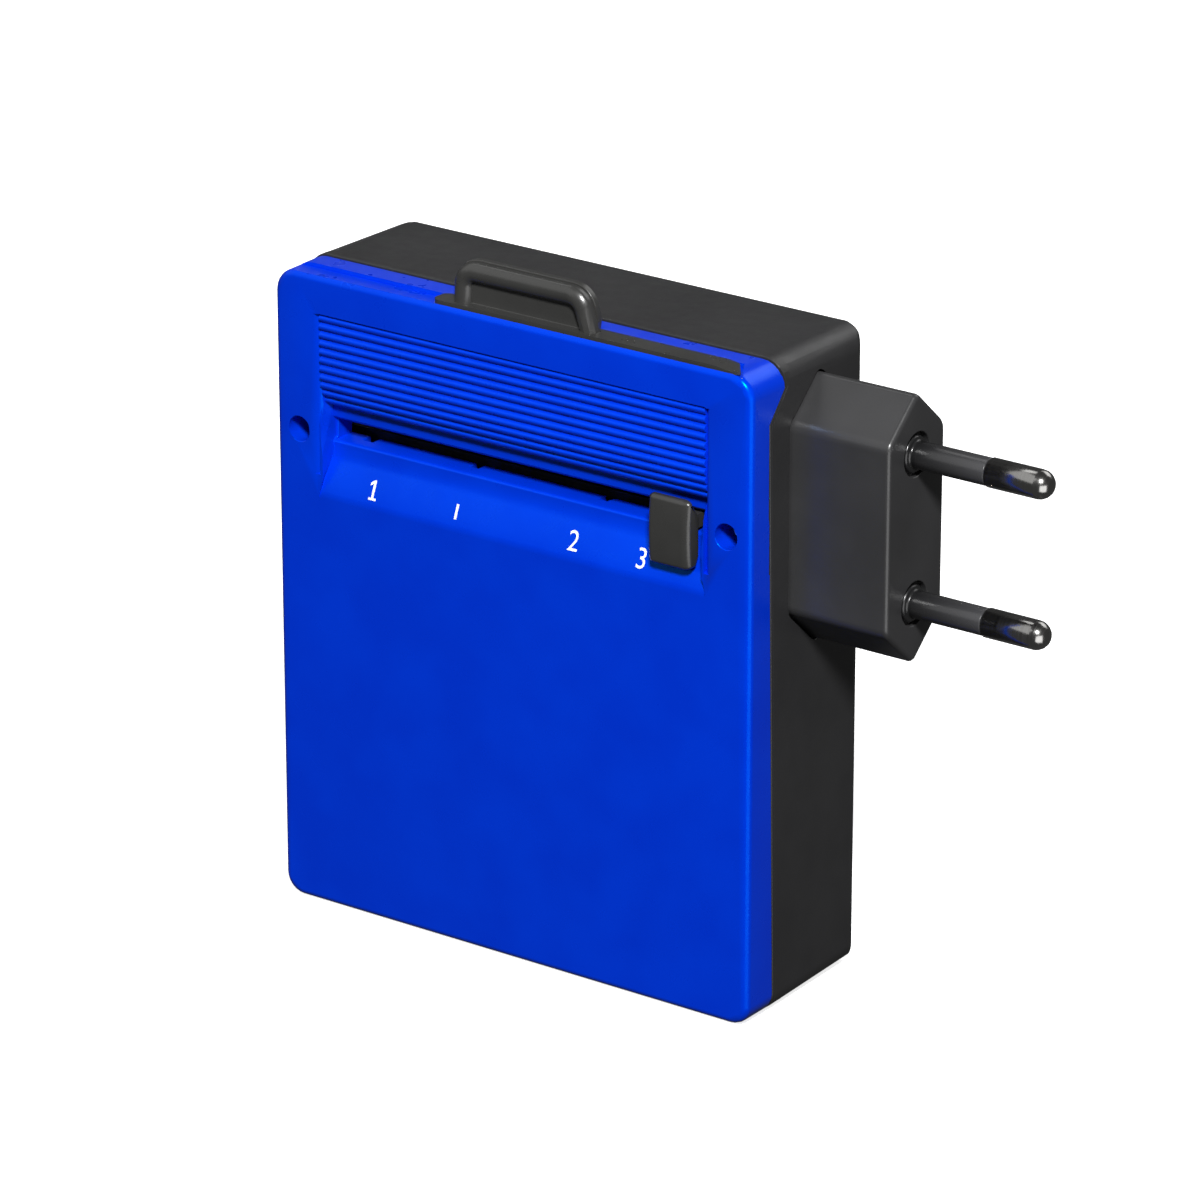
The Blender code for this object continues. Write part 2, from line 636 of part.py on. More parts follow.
def make_shell_body():
    """The shell's outside, drafted towards the back and rounded by a different amount on each side."""
    form = box_form((-HALF_WIDTH, HALF_WIDTH), (DRAFT_START, DEPTH), (0, HEIGHT))
    back_y = deep(DEPTH)
    weights = form.edges.layers.float.new("bevel_weight_edge")
    widest = max(CORNER, CORNER_TOP, BACK_CORNER, BACK_EDGE)
    for edge in form.edges:
        a, b = (v.co for v in edge.verts)
        if abs(a.y - b.y) > MM:
            edge[weights] = (CORNER_TOP if a.z > HEIGHT / 2 else CORNER) / widest
        elif abs(a.y - back_y) < 1e-6:
            edge[weights] = (BACK_CORNER if abs(a.z - b.z) > MM else BACK_EDGE) / widest
    for vertex in form.verts:
        if abs(vertex.co.y - back_y) < 1e-6:
            vertex.co.x -= math.copysign(DRAFT_SIDE, vertex.co.x)
            vertex.co.z += DRAFT_BOTTOM if vertex.co.z < HEIGHT / 2 else -DRAFT_TOP
    body = mesh_object("rear_shell", form, CHARCOAL)
    rounding = body.modifiers.new("rounding", "BEVEL")
    rounding.limit_method = "WEIGHT"
    rounding.width = widest
    rounding.segments = 6
    return body


def make_rear_shell():
    shell = make_shell_body()
    cut(shell, before_seam("shell_front", SEAM_GAP + RIM_WIDTH))
    rim_half = HALF_WIDTH - RIM_STEP
    rim = block("shell_rim", (-rim_half, rim_half), (0, SEAM_TOP + WALL), (RIM_STEP, HEIGHT - RIM_STEP),
                cutter=True, corner=(CORNER - RIM_STEP, CORNER_TOP - RIM_STEP))
    cut(rim, before_seam("rim_front", SEAM_GAP))
    join(shell, rim,
         block("standing_land", (LAND_LEFT, LAND_RIGHT), (LAND_FRONT, LAND_BACK), (0, LAND_THICK), cutter=True))
    cut(shell, block("shell_hollow", (-INNER_X, INNER_X), (-PAST, INNER_BACK), (WALL, HEIGHT - WALL),
                     cutter=True, corner=CORNER - WALL))
    join(shell,
         block("shelf", (-INNER_X - 0.2 * MM, INNER_X + 0.2 * MM), (CARRIAGE_FRONT, INNER_BACK + 0.2 * MM),
               (SHELF_TOP - SHELF_THICK, SHELF_TOP), cutter=True),
         block("slot_baffle", (-SCREW_X, SCREW_X), (BAFFLE_FRONT, BAFFLE_BACK),
               (SLOT_BOTTOM - 3.0 * MM, SLOT_BOTTOM + 0.32 * MM), cutter=True))
    boss = SCREW_SHANK_RADIUS + BOSS_WALL + 0.4 * MM
    boss_front = SCREW_HEAD_SEAT + 1.2 * MM + GAP
    for side in (-1, 1):
        centre = (side * SCREW_X, FRONT_Y, SLOT_Z)
        web = sorted((side * SCREW_X, side * (INNER_X + 0.2 * MM)))
        join(shell,
             rod(f"shell_boss_{side}", centre, "Y", -BOSS_BACK, -boss_front, boss, 16, cutter=True),
             block(f"boss_web_{side}", web, (boss_front + 0.2 * MM, BOSS_BACK - 0.2 * MM),
                   (SLOT_Z - 0.7 * boss, SLOT_Z + 0.7 * boss), cutter=True))
        cut(shell, rod(f"boss_pilot_{side}", centre, "Y", -BOSS_BACK - PAST, 0.0,
                       SCREW_SHANK_RADIUS + 0.25 * MM, 16, cutter=True))
    for index, (x, z) in enumerate(british_posts()):
        join(shell, rod(f"guide_post_{index}", (x, FRONT_Y, z), "Y", -INNER_BACK - 0.5 * MM, -WALL - 0.5 * MM,
                        BRITISH_POST_RADIUS, 16, cutter=True))
    cut(shell, prism("block_opening", [block_outline(OPENING_GAP)], "X", INNER_X - PAST, HALF_WIDTH + PAST,
                     cutter=True))
    for side in (-1, 1):
        centre = (-HALF_WIDTH, deep(PLUG_DEPTH), PLUG_Z + side * BLADE_SPACING / 2)
        cut(shell, rod(f"blade_opening_{side}", centre, "X", -PAST, WALL + 0.4 * MM,
                       BLADE_WIDTH / 2 + 0.45 * MM, 24, cutter=True))
    for name, x, z, width, height in british_pins():
        cut(shell, block(f"{name}_opening", (x - width / 2 - GAP, x + width / 2 + GAP),
                         (INNER_BACK - 0.5 * MM, DEPTH + PAST), (z - height / 2 - GAP, z + height / 2 + GAP),
                         cutter=True))
    cut(shell, block("socket_opening", (SOCKET_X - SOCKET_LENGTH / 2, SOCKET_X + SOCKET_LENGTH / 2),
                     (SOCKET_DEPTH - SOCKET_BREADTH / 2, SOCKET_DEPTH + SOCKET_BREADTH / 2),
                     (-PAST, WALL + 0.4 * MM), cutter=True))
    for name, x in (("live", LIVE_DROP_X), ("neutral", NEUTRAL_DROP_X)):
        cut(shell, block(f"shelf_notch_{name}", (x - BAR_HEIGHT / 2 - GAP, x + BAR_HEIGHT / 2 + GAP),
                         (BAR_FRONT - GAP, INNER_BACK), (SHELF_TOP - 2 * SHELF_THICK, SHELF_TOP + PAST),
                         cutter=True))
    return shell


def make_cover_screw(name, side):
    """A pan-head screw down one tube of the cover."""
    head = SCREW_HEAD_SEAT - 0.2 * MM
    profile = [(-head + SCREW_HEAD_THICK, 0.0), (-head + SCREW_HEAD_THICK, 0.7 * SCREW_HEAD_RADIUS),
               (-head + 0.4 * SCREW_HEAD_THICK, SCREW_HEAD_RADIUS), (-head, SCREW_HEAD_RADIUS),
               (-head, SCREW_SHANK_RADIUS), (-BOSS_BACK + 0.6 * MM, SCREW_SHANK_RADIUS),
               (-BOSS_BACK + 0.1 * MM, 0.4 * SCREW_SHANK_RADIUS), (-BOSS_BACK + 0.1 * MM, 0.0)]
    return turned(name, profile, (side * SCREW_X, FRONT_Y, SLOT_Z), "Y", 16, STEEL)


# --- Selector carriage and what rides on it ----------------------------------------------------------

def make_carriage():
    depth = (CARRIAGE_FRONT, CARRIAGE_BACK)
    arm_right = INNER_X - ARM_END_GAP
    carriage = block("carriage", (CARRIAGE_LEFT, CARRIAGE_RIGHT), depth, (CARRIAGE_BOTTOM, CARRIAGE_TOP), CHARCOAL)
    join(carriage,
         block("top_arm", (CARRIAGE_RIGHT - PAST, arm_right), depth,
               (CARRIAGE_TOP - CARRIAGE_ARM, CARRIAGE_TOP), cutter=True),
         block("bottom_arm", (CARRIAGE_RIGHT - PAST, arm_right), depth,
               (CARRIAGE_BOTTOM, CARRIAGE_BOTTOM + CARRIAGE_ARM), cutter=True),
         block("stem", (STATION_EUROPE - STEM_WIDTH / 2, STATION_EUROPE + STEM_WIDTH / 2),
               (KNOB_PROUD - 0.4 * MM, CARRIAGE_FRONT + 0.5 * MM),
               (SLOT_Z + STEM_RISE - STEM_THICK / 2, SLOT_Z + STEM_RISE + STEM_THICK / 2), cutter=True))
    bore_end = BORE_RIGHT - CARRIAGE_LEFT
    bore = [(-PAST, 0.0), (-PAST, BARREL_RADIUS + GAP), (bore_end, BARREL_RADIUS + GAP),
            (bore_end, STUD_RADIUS + 0.4 * MM), (CARRIAGE_LENGTH + PAST, STUD_RADIUS + 0.4 * MM),
            (CARRIAGE_LENGTH + PAST, 0.0)]
    half_height = CARRIAGE_TOP - PLUG_Z
    sink = half_height - SCREW_SINK
    arm_bore = [(sink - PAST, 0.0), (sink - PAST, 1.05 * MM), (sink, 1.05 * MM), (sink, 1.65 * MM),
                (half_height + PAST, 1.65 * MM), (half_height + PAST, 0.0)]
    for side in (-1, 1):
        z = PLUG_Z + side * BLADE_SPACING / 2
        axis_end = (CARRIAGE_LEFT, deep(PLUG_DEPTH), z)
        pocket = sorted((PLUG_Z + side * 12.2 * MM, PLUG_Z + side * 16.7 * MM))
        cut(carriage,
            turned(f"barrel_bore_{side}", bore, axis_end, "X", 24, cutter=True),
            block(f"core_{side}", (CARRIAGE_LEFT - PAST, BORE_RIGHT), (CARRIAGE_FRONT + WALL, CARRIAGE_BACK - WALL),
                  pocket, cutter=True),
            turned(f"arm_bore_{side}", [(side * place, radius) for place, radius in arm_bore],
                   (BLOCK_SCREW_X, deep(PLUG_DEPTH), PLUG_Z), "Z", 16, cutter=True))
    cut(carriage, block("gear_chamber", (BARREL_RIGHT - GEAR_WIDTH - GAP, BORE_RIGHT + 0.1 * MM),
                        (PLUG_DEPTH - 4.8 * MM, PLUG_DEPTH + 4.8 * MM), (PLUG_Z - 5.0 * MM, PLUG_Z + 5.0 * MM),
                        cutter=True))
    return carriage


def make_selector_knob():
    """A slab that overhangs its foot, bowed in front, that clips over the stem of the carriage."""
    top = SLOT_Z - KNOB_DROP + KNOB_HEIGHT / 2
    bottom = top - KNOB_HEIGHT
    back = SCOOP_DEPTH - 0.25 * MM
    front = [(-KNOB_PROUD - KNOB_BOW * (1 - (2 * i / 8 - 1) ** 2), bottom + KNOB_HEIGHT * i / 8) for i in range(9)]
    outline = [(deep(d), z) for d, z in front]
    outline += [(deep(back), top - KNOB_SLANT), (deep(back), SCOOP_BAND_BOTTOM)]
    knob = prism("selector_knob", [outline], "X", STATION_EUROPE - KNOB_LEFT, STATION_EUROPE + KNOB_RIGHT, CHARCOAL)
    form = bmesh.new()
    form.from_mesh(knob.data)
    bmesh.ops.dissolve_limit(form, angle_limit=math.radians(1), verts=form.verts, edges=form.edges)
    weights = form.edges.layers.float.new("bevel_weight_edge")
    for edge in form.edges:
        a, b = (v.co for v in edge.verts)
        in_front = max(a.y, b.y) < deep(-0.5 * KNOB_PROUD)
        across = abs(a.x - b.x) > MM
        if in_front and not across:
            edge[weights] = 1.0
        elif abs(edge.calc_face_angle(0.0)) > math.radians(30) and min(a.y, b.y) < deep(0.5 * MM):
            edge[weights] = KNOB_EDGE / KNOB_ROUND
    form.to_mesh(knob.data)
    form.free()
    soften = knob.modifiers.new("soft_edges", "BEVEL")
    soften.limit_method = "WEIGHT"
    soften.width = KNOB_ROUND
    soften.segments = 4
    pocket = STEM_WIDTH / 2 + 0.2 * MM
    cut(knob, block("knob_pocket", (STATION_EUROPE - pocket, STATION_EUROPE + pocket),
                    (KNOB_PROUD - 0.6 * MM, back + PAST),
                    (SLOT_Z + STEM_RISE - STEM_THICK / 2 - 0.2 * MM,
                     SLOT_Z + STEM_RISE + STEM_THICK / 2 + 0.2 * MM), cutter=True))
    return knob


def make_detent_spring():
    """A leaf on the carriage whose crest lies behind the notches of the slot."""
    thick = 0.35 * MM
    rest = CARRIAGE_FRONT - GAP
    crest = LEDGE_BACK + GAP
    lift = rest - crest - thick
    left = CARRIAGE_LEFT + 2.4 * MM
    right = CARRIAGE_RIGHT - 0.2 * MM
    peak = STATION_EUROPE - 2.6 * MM
    places = [(left, 0.0), (left + 0.9 * MM, 0.0), (peak - 0.7 * MM, 0.85), (peak, 1.0), (peak + 0.8 * MM, 0.8),
              (right, 0.25)]
    front_line = [(x, deep(rest - thick - lift * share)) for x, share in places]
    back_line = [(x, deep(rest - lift * share)) for x, share in reversed(places)]
    return prism("detent_spring", [front_line + back_line], "Z", SLOT_TOP + 0.2 * MM, SLOT_TOP + 1.3 * MM, STEEL)


def make_blade_retainer():
    low, high = PLUG_Z - 12.0 * MM, PLUG_Z + 12.0 * MM
    outline = rectangle(deep(CARRIAGE_FRONT), deep(CARRIAGE_BACK), low, high)
    holes = [ring(deep(PLUG_DEPTH), PLUG_Z + side * BLADE_SPACING / 2, BARREL_NECK_RADIUS + GAP, 24)
             for side in (-1, 1)]
    return prism("blade_retainer", [outline, *holes], "X", RETAINER_LEFT, RETAINER_LEFT + RETAINER_THICK, PALE)


def make_euro_block():
    """The long hexagonal plug body, with a bore and a sunk ring for each pin."""
    body = prism("euro_plug_block", [block_outline(0.0)], "X", BLOCK_LEFT, BLOCK_RIGHT, CHARCOAL)
    form = bmesh.new()
    form.from_mesh(body.data)
    bmesh.ops.dissolve_limit(form, angle_limit=math.radians(1), verts=form.verts, edges=form.edges)
    rim = [e for e in form.edges if all(abs(v.co.x - BLOCK_RIGHT) < 1e-6 for v in e.verts)]
    round_edges(form, rim, BLOCK_EDGE, 3)
    form.to_mesh(body.data)
    form.free()
    for side in (-1, 1):
        z = PLUG_Z + side * PIN_SPACING / 2
        profile = [(BLOCK_LEFT - PAST, 0.0), (BLOCK_LEFT - PAST, PIN_RADIUS + GAP),
                   (BLOCK_RIGHT - PIN_RECESS_DEPTH, PIN_RADIUS + GAP),
                   (BLOCK_RIGHT - PIN_RECESS_DEPTH, PIN_RECESS_RADIUS),
                   (BLOCK_RIGHT + PAST, PIN_RECESS_RADIUS), (BLOCK_RIGHT + PAST, 0.0)]
        cut(body, turned(f"pin_bore_{side}", profile, (0, deep(PLUG_DEPTH), z), "X", 24, cutter=True),
            rod(f"block_screw_bore_{side}", (BLOCK_SCREW_X, deep(PLUG_DEPTH), PLUG_Z), "Z",
                *sorted((side * BLOCK_SCREW_END, side * 20.0 * MM)), 1.05 * MM, 12, cutter=True))
    return body


def make_block_screw(name, side):
    """A small screw that holds the European plug to one arm of the carriage."""
    head_top = CARRIAGE_TOP - PLUG_Z - 0.05 * MM
    profile = [(side * head_top, 0.0), (side * head_top, 1.35 * MM),
               (side * (head_top - 0.5 * MM), 1.35 * MM), (side * (head_top - 0.5 * MM), 0.8 * MM),
               (side * (BLOCK_SCREW_END + 0.2 * MM), 0.8 * MM), (side * (BLOCK_SCREW_END + 0.2 * MM), 0.0)]
    return turned(name, profile, (BLOCK_SCREW_X, deep(PLUG_DEPTH), PLUG_Z), "Z", 12, STEEL)


def make_euro_pin(name, side):
    """A round pin with a domed tip and a necked root that the sleeve fits over."""
    root = BLOCK_LEFT
    neck_start = BLOCK_RIGHT - PIN_RECESS_DEPTH - 0.4 * MM
    sleeve_end = BLOCK_RIGHT + SLEEVE_REACH
    tip = BLOCK_RIGHT + PIN_REACH
    profile = [(root, 0.0), (root, PIN_RADIUS), (neck_start, PIN_RADIUS), (neck_start, PIN_NECK_RADIUS),
               (sleeve_end + 0.2 * MM, PIN_NECK_RADIUS), (sleeve_end + 0.2 * MM, PIN_RADIUS)]
    for step in range(0, 5):
        angle = math.radians(90 * step / 5)
        profile.append((tip - PIN_RADIUS * (1 - math.sin(angle)), PIN_RADIUS * math.cos(angle)))
    profile.append((tip, 0.0))
    centre = (0, deep(PLUG_DEPTH), PLUG_Z + side * PIN_SPACING / 2)
    return turned(name, profile, centre, "X", 20, NICKEL)


def make_euro_sleeve(name, side):
    """A black sleeve round the neck of a pin, with a flange that sits in the block's recess."""
    start = BLOCK_RIGHT - PIN_RECESS_DEPTH + 0.12 * MM
    end = BLOCK_RIGHT + SLEEVE_REACH
    flange = start + SLEEVE_FLANGE_THICK
    soft = 0.2 * MM
    profile = [(start, SLEEVE_BORE_RADIUS), (start, SLEEVE_FLANGE_RADIUS), (flange - soft, SLEEVE_FLANGE_RADIUS),
               (flange, SLEEVE_FLANGE_RADIUS - soft), (flange, SLEEVE_RADIUS + soft),
               (flange + soft, SLEEVE_RADIUS), (end, SLEEVE_RADIUS), (end, SLEEVE_BORE_RADIUS)]
    centre = (0, deep(PLUG_DEPTH), PLUG_Z + side * PIN_SPACING / 2)
    return turned(name, profile, centre, "X", 20, BLACK)


def make_plug_contact(name, side):
    """A bent brass strip behind a pin and a blade, whose leaf wipes along the bar on the back wall."""
    plate_front = PLUG_DEPTH - 2.0 * MM
    outline = [(PLATE_LEFT, deep(plate_front)), (PLATE_LEFT + BAR_THICK, deep(plate_front)),
               (PLATE_LEFT + BAR_THICK, deep(WIPER_BACK)), (CARRIAGE_LEFT + 1.0 * MM, deep(WIPER_BACK)),
               (CARRIAGE_LEFT + 1.0 * MM, deep(WIPER_BACK - BAR_THICK)), (PLATE_LEFT, deep(WIPER_BACK - BAR_THICK))]
    low, high = sorted((PLUG_Z + side * 4.0 * MM, PLUG_Z + side * 11.5 * MM))
    return prism(name, [outline], "Z", low, high, BRASS)


def gear_sector(name, side, tooth_angles):
    """Gear teeth on the side of a barrel that faces the other barrel.

    The pitch circles touch midway between the blades, and an angle of 0 points at the other barrel.
    """
    pitch = BLADE_SPACING / 2
    root = pitch - GEAR_DEDENDUM
    tip = pitch + GEAR_ADDENDUM
    half_tooth = math.tau / GEAR_PITCH_TEETH * GEAR_TOOTH_SHARE / 2
    points = [(root, min(tooth_angles) - 2 * half_tooth)]
    for angle in tooth_angles:
        points += [(root, angle - 1.35 * half_tooth), (tip, angle - 0.6 * half_tooth),
                   (tip, angle + 0.6 * half_tooth), (root, angle + 1.35 * half_tooth)]
    points.append((root, max(tooth_angles) + 2 * half_tooth))
    outline = [(deep(PLUG_DEPTH), PLUG_Z + side * pitch)]
    outline += [(deep(PLUG_DEPTH) + r * math.sin(a), PLUG_Z + side * (pitch - r * math.cos(a))) for r, a in points]
    return prism(name, [outline], "X", BARREL_RIGHT - GEAR_WIDTH, BARREL_RIGHT, cutter=True)


def make_barrel(name, side):
    """The round holder that twists a blade, with its gear sector and the blade's slot."""
    centre = (0, deep(PLUG_DEPTH), PLUG_Z + side * BLADE_SPACING / 2)
    profile = [(RETAINER_LEFT + 0.2 * MM, 0.0), (RETAINER_LEFT + 0.2 * MM, BARREL_NECK_RADIUS),
               (BARREL_LEFT, BARREL_NECK_RADIUS), (BARREL_LEFT, BARREL_RADIUS),
               (BARREL_RIGHT, BARREL_RADIUS), (BARREL_RIGHT, 0.0)]
    barrel = turned(name, profile, centre, "X", 24, PALE)
    step = math.tau / GEAR_PITCH_TEETH
    shift = 0.0 if side > 0 else 0.5
    count = 3 if side > 0 else 4
    first = -2.0 if side > 0 else -3.0
    angles = [(first + shift + i) * step for i in range(count)]
    join(barrel, gear_sector(f"{name}_teeth", side, angles))
    cut(barrel, block(f"{name}_slot", (RETAINER_LEFT - PAST, BARREL_RIGHT + PAST),
                      (PLUG_DEPTH - BLADE_WIDTH / 2 - GAP, PLUG_DEPTH + BLADE_WIDTH / 2 + GAP),
                      (centre[2] - BLADE_THICK / 2 - GAP, centre[2] + BLADE_THICK / 2 + GAP), cutter=True))
    return barrel


def make_blade(name, side):
    """A flat blade with chamfered tip corners and a round stud at its root."""
    z = PLUG_Z + side * BLADE_SPACING / 2
    front, back = deep(PLUG_DEPTH - BLADE_WIDTH / 2), deep(PLUG_DEPTH + BLADE_WIDTH / 2)
    nose = 1.2 * MM
    outline = [(BLADE_TIP, front + nose), (BLADE_TIP + nose, front), (BARREL_RIGHT, front), (BARREL_RIGHT, back),
               (BLADE_TIP + nose, back), (BLADE_TIP, back - nose)]
    blade = prism(name, [outline], "Z", z - BLADE_THICK / 2, z + BLADE_THICK / 2, NICKEL)
    join(blade, rod(f"{name}_stud", (0, deep(PLUG_DEPTH), z), "X", BARREL_RIGHT - 1.0 * MM, CARRIAGE_RIGHT,
                    STUD_RADIUS, 12, cutter=True))
    return blade


# --- British plug ------------------------------------------------------------------------------------

def make_uk_carriage():
    """The plate that holds the British pins and runs on two posts of the shell."""
    front = WALL + 0.4 * MM
    half = BRITISH_PITCH / 2 + BRITISH_PIN_WIDTH / 2 + BRITISH_PLATE_MARGIN
    low = BRITISH_ROW_Z - BRITISH_PIN_THICK / 2 - 2.0 * MM
    high = BRITISH_ROW_Z + BRITISH_PITCH + BRITISH_EARTH_HEIGHT / 2 + 1.6 * MM
    outline = rectangle(BRITISH_X - half, BRITISH_X + half, low, high)
    holes = [ring(x, z, BRITISH_POST_RADIUS + GAP, 16) for x, z in british_posts()]
    for _, x, z, width, height in british_pins():
        holes.append(rectangle(x - width / 2 - 0.2 * MM, x + width / 2 + 0.2 * MM,
                               z - height / 2 - 0.2 * MM, z + height / 2 + 0.2 * MM))
    return prism("uk_carriage", [outline, *holes], "Y", deep(front), deep(front + BRITISH_PLATE_THICK), PALE)


def make_uk_pin(name, x, z, width, height):
    """A rectangular pin, flush with the back wall at rest, with a tapered tip and a shoulder."""
    front = WALL + 0.45 * MM
    tip = DEPTH - 0.1 * MM
    pin = block(name, (x - width / 2, x + width / 2), (front, tip), (z - height / 2, z + height / 2), BRASS)
    form = bmesh.new()
    form.from_mesh(pin.data)
    end = [e for e in form.edges if all(abs(v.co.y - deep(tip)) < 1e-6 for v in e.verts)]
    bmesh.ops.bevel(form, geom=end, offset=0.9 * MM, segments=2, profile=0.4, affect="EDGES")
    form.to_mesh(pin.data)
    form.free()
    shoulder = WALL + 0.4 * MM + BRITISH_PLATE_THICK
    join(pin, block(f"{name}_shoulder", (x - width / 2 - 0.2 * MM, x + width / 2 + 0.2 * MM),
                    (shoulder + 0.15 * MM, shoulder + 0.75 * MM),
                    (z - height / 2 - 0.2 * MM, z + height / 2 + 0.2 * MM), cutter=True))
    return pin


# --- Socket, fuse and brass bars ---------------------------------------------------------------------

def keyhole(name, side):
    """A round hole that runs into a flat slot, for a round pin or a flat blade."""
    round_x = SOCKET_X + side * SOCKET_ROUND_SPACING / 2
    slot_x = SOCKET_X + side * BLADE_SPACING / 2
    hole = rod(name, (round_x, deep(SOCKET_DEPTH), 0.0), "Z", -PAST, 3 * PAST, SOCKET_ROUND_RADIUS, 20,
               cutter=True)
    join(hole, block(f"{name}_slot", sorted((slot_x - side * SOCKET_SLOT_WIDTH / 2, slot_x + side * 1.4 * MM)),
                     (SOCKET_DEPTH - SOCKET_SLOT_LENGTH / 2, SOCKET_DEPTH + SOCKET_SLOT_LENGTH / 2),
                     (-PAST, 3 * PAST), cutter=True))
    return hole


def make_socket_insert():
    """The socket's face, pushed into the bottom wall from inside and stopped by its flange."""
    fit = 0.2 * MM
    half_x = SOCKET_LENGTH / 2 - fit
    half_y = SOCKET_BREADTH / 2 - fit
    insert = block("socket_insert", (SOCKET_X - half_x, SOCKET_X + half_x),
                   (SOCKET_DEPTH - half_y, SOCKET_DEPTH + half_y), (0.2 * MM, WALL + 1.0 * MM), CHARCOAL)
    join(insert, block("socket_flange", (SOCKET_X - half_x - SOCKET_FLANGE, SOCKET_X + half_x + SOCKET_FLANGE),
                       (SOCKET_DEPTH - half_y - 0.6 * MM, SOCKET_DEPTH + half_y),
                       (WALL + GAP, WALL + 1.8 * MM), cutter=True))
    cut(insert, keyhole("keyhole_left", -1), keyhole("keyhole_right", 1))
    return insert


def make_socket_contact(name, side):
    """A sprung brass fork over one keyhole, bent from a single strip."""
    inner = BLADE_SPACING / 2 - SOCKET_SLOT_WIDTH / 2 - CONTACT_THICK
    outer = SOCKET_ROUND_SPACING / 2 + SOCKET_ROUND_RADIUS + 0.2 * MM
    low = WALL + 1.8 * MM + GAP
    high = low + CONTACT_HEIGHT
    waist = 0.6 * MM
    middle = (low + high) / 2
    t = CONTACT_THICK
    outline = [(inner, low), (inner + waist, middle), (inner, high), (outer + t, high), (outer + t - waist, middle),
               (outer + t, low), (outer, low), (outer - waist, middle), (outer, high - t), (inner + t, high - t),
               (inner + t + waist, middle), (inner + t, low)]
    outline = [(SOCKET_X + side * u, v) for u, v in outline]
    half = SOCKET_SLOT_LENGTH / 2 - 0.2 * MM
    return prism(name, [outline], "Y", deep(SOCKET_DEPTH - half), deep(SOCKET_DEPTH + half), BRASS)


def make_bus_bar(name, row_z, left, right, drop_x, end_z):
    """A flat bar along the back wall for the wiper, with a leg down to the fuse or the socket."""
    half = BAR_HEIGHT / 2
    if drop_x + half >= right:
        outline = [(left, row_z - half), (drop_x - half, row_z - half), (drop_x - half, end_z),
                   (drop_x + half, end_z), (drop_x + half, row_z + half), (left, row_z + half)]
    else:
        outline = [(left, row_z - half), (drop_x - half, row_z - half), (drop_x - half, end_z),
                   (drop_x + half, end_z), (drop_x + half, row_z - half), (right, row_z - half),
                   (right, row_z + half), (left, row_z + half)]
    return prism(name, [outline], "Y", deep(BAR_FRONT), deep(BAR_BACK), BRASS)


def make_fuse():
    """A glass tube fuse with two end caps, lying along X above the socket."""
    cap = 5.0 * MM
    half = FUSE_LENGTH / 2
    glass = FUSE_RADIUS - 0.25 * MM
    profile = [(-half, 0.0), (-half, FUSE_RADIUS), (-half + cap, FUSE_RADIUS), (-half + cap, glass),
               (half - cap, glass), (half - cap, FUSE_RADIUS), (half, FUSE_RADIUS), (half, 0.0)]
    return turned("fuse", profile, (SOCKET_X, deep(SOCKET_DEPTH), FUSE_Z), "X", 20, GLASS)


def make_fuse_clip(name, side):
    """A brass clip on the back wall that grips one cap of the fuse."""
    inner = FUSE_RADIUS + 0.2 * MM
    outer = inner + CONTACT_THICK
    opening = math.radians(50)
    steps = [opening + (math.tau - 2 * opening) * i / 14 for i in range(15)]
    middle = deep(SOCKET_DEPTH)
    inside = [(middle - inner * math.cos(a), FUSE_Z + inner * math.sin(a)) for a in steps]
    outside = [(middle - outer * math.cos(a), FUSE_Z + outer * math.sin(a)) for a in reversed(steps)]
    centre_x = SOCKET_X + side * (FUSE_LENGTH / 2 - 2.5 * MM)
    clip = prism(name, [inside + outside], "X", centre_x - 1.6 * MM, centre_x + 1.6 * MM, BRASS)
    join(clip, block(f"{name}_foot", (centre_x - 1.0 * MM, centre_x + 1.0 * MM),
                     (SOCKET_DEPTH + inner + 0.2 * MM, BAR_FRONT - GAP),
                     (FUSE_Z - 0.5 * MM, FUSE_Z + 0.5 * MM), cutter=True))
    return clip


# --- Strip with the finger grip ----------------------------------------------------------------------

def make_grip_slider():
    """The strip in the groove, its finger grip, and the key and foot that hold it in the cover."""
    middle = deep(STRIP_FRONT + STRIP_WIDTH / 2)
    bottom = GROOVE_FLOOR_Z + STRIP_LIFT
    top = bottom + STRIP_THICK
    half = STRIP_WIDTH / 2
    nose = 1.1 * MM
    outline = strip_plan(STRIP_LEFT + nose, STRIP_RIGHT, 0.0)[1:3]
    for step in range(9):
        angle = math.radians(90 + 180 * step / 8)
        outline.append((STRIP_LEFT + nose + nose * math.cos(angle), middle + half * math.sin(angle)))
    strip = prism("grip_slider", [outline], "Z", bottom, top, CHARCOAL)
    ramp_start, ramp_end = STRIP_RIGHT - 3.6 * MM, bottom + 0.2 * MM
    ramp = [(ramp_start, top), (ramp_start, top + MM), (STRIP_RIGHT + PAST, top + MM),
            (STRIP_RIGHT + PAST, ramp_end), (STRIP_RIGHT, ramp_end)]
    cut(strip, prism("strip_ramp", [ramp], "Y", middle - WALL * 2, middle + WALL * 2, cutter=True))
    key = (STRIP_FRONT + (STRIP_WIDTH - KEY_THICK) / 2, STRIP_FRONT + (STRIP_WIDTH + KEY_THICK) / 2)
    foot_top = COVER_CEILING - GAP
    join(strip,
         block("strip_key", (KEY_LEFT, KEY_LEFT + KEY_LENGTH), key,
               (foot_top - 0.3 * MM, bottom + STRIP_THICK / 2), cutter=True),
         block("strip_foot", (KEY_LEFT, KEY_LEFT + KEY_LENGTH), (key[0] - 0.1 * MM, key[1] + 1.6 * MM),
               (foot_top - FOOT_THICK, foot_top), cutter=True),
         make_grip_plate("grip_flange", top, GRIP_FLANGE, GRIP_FLANGE_FRONT, GRIP_FLANGE_BACK),
         make_grip_plate("grip_web", top, -0.15 * MM, GRIP_WEB_FRONT, GRIP_FLANGE_FRONT + 0.3 * MM),
         make_grip_rim(top))
    return strip


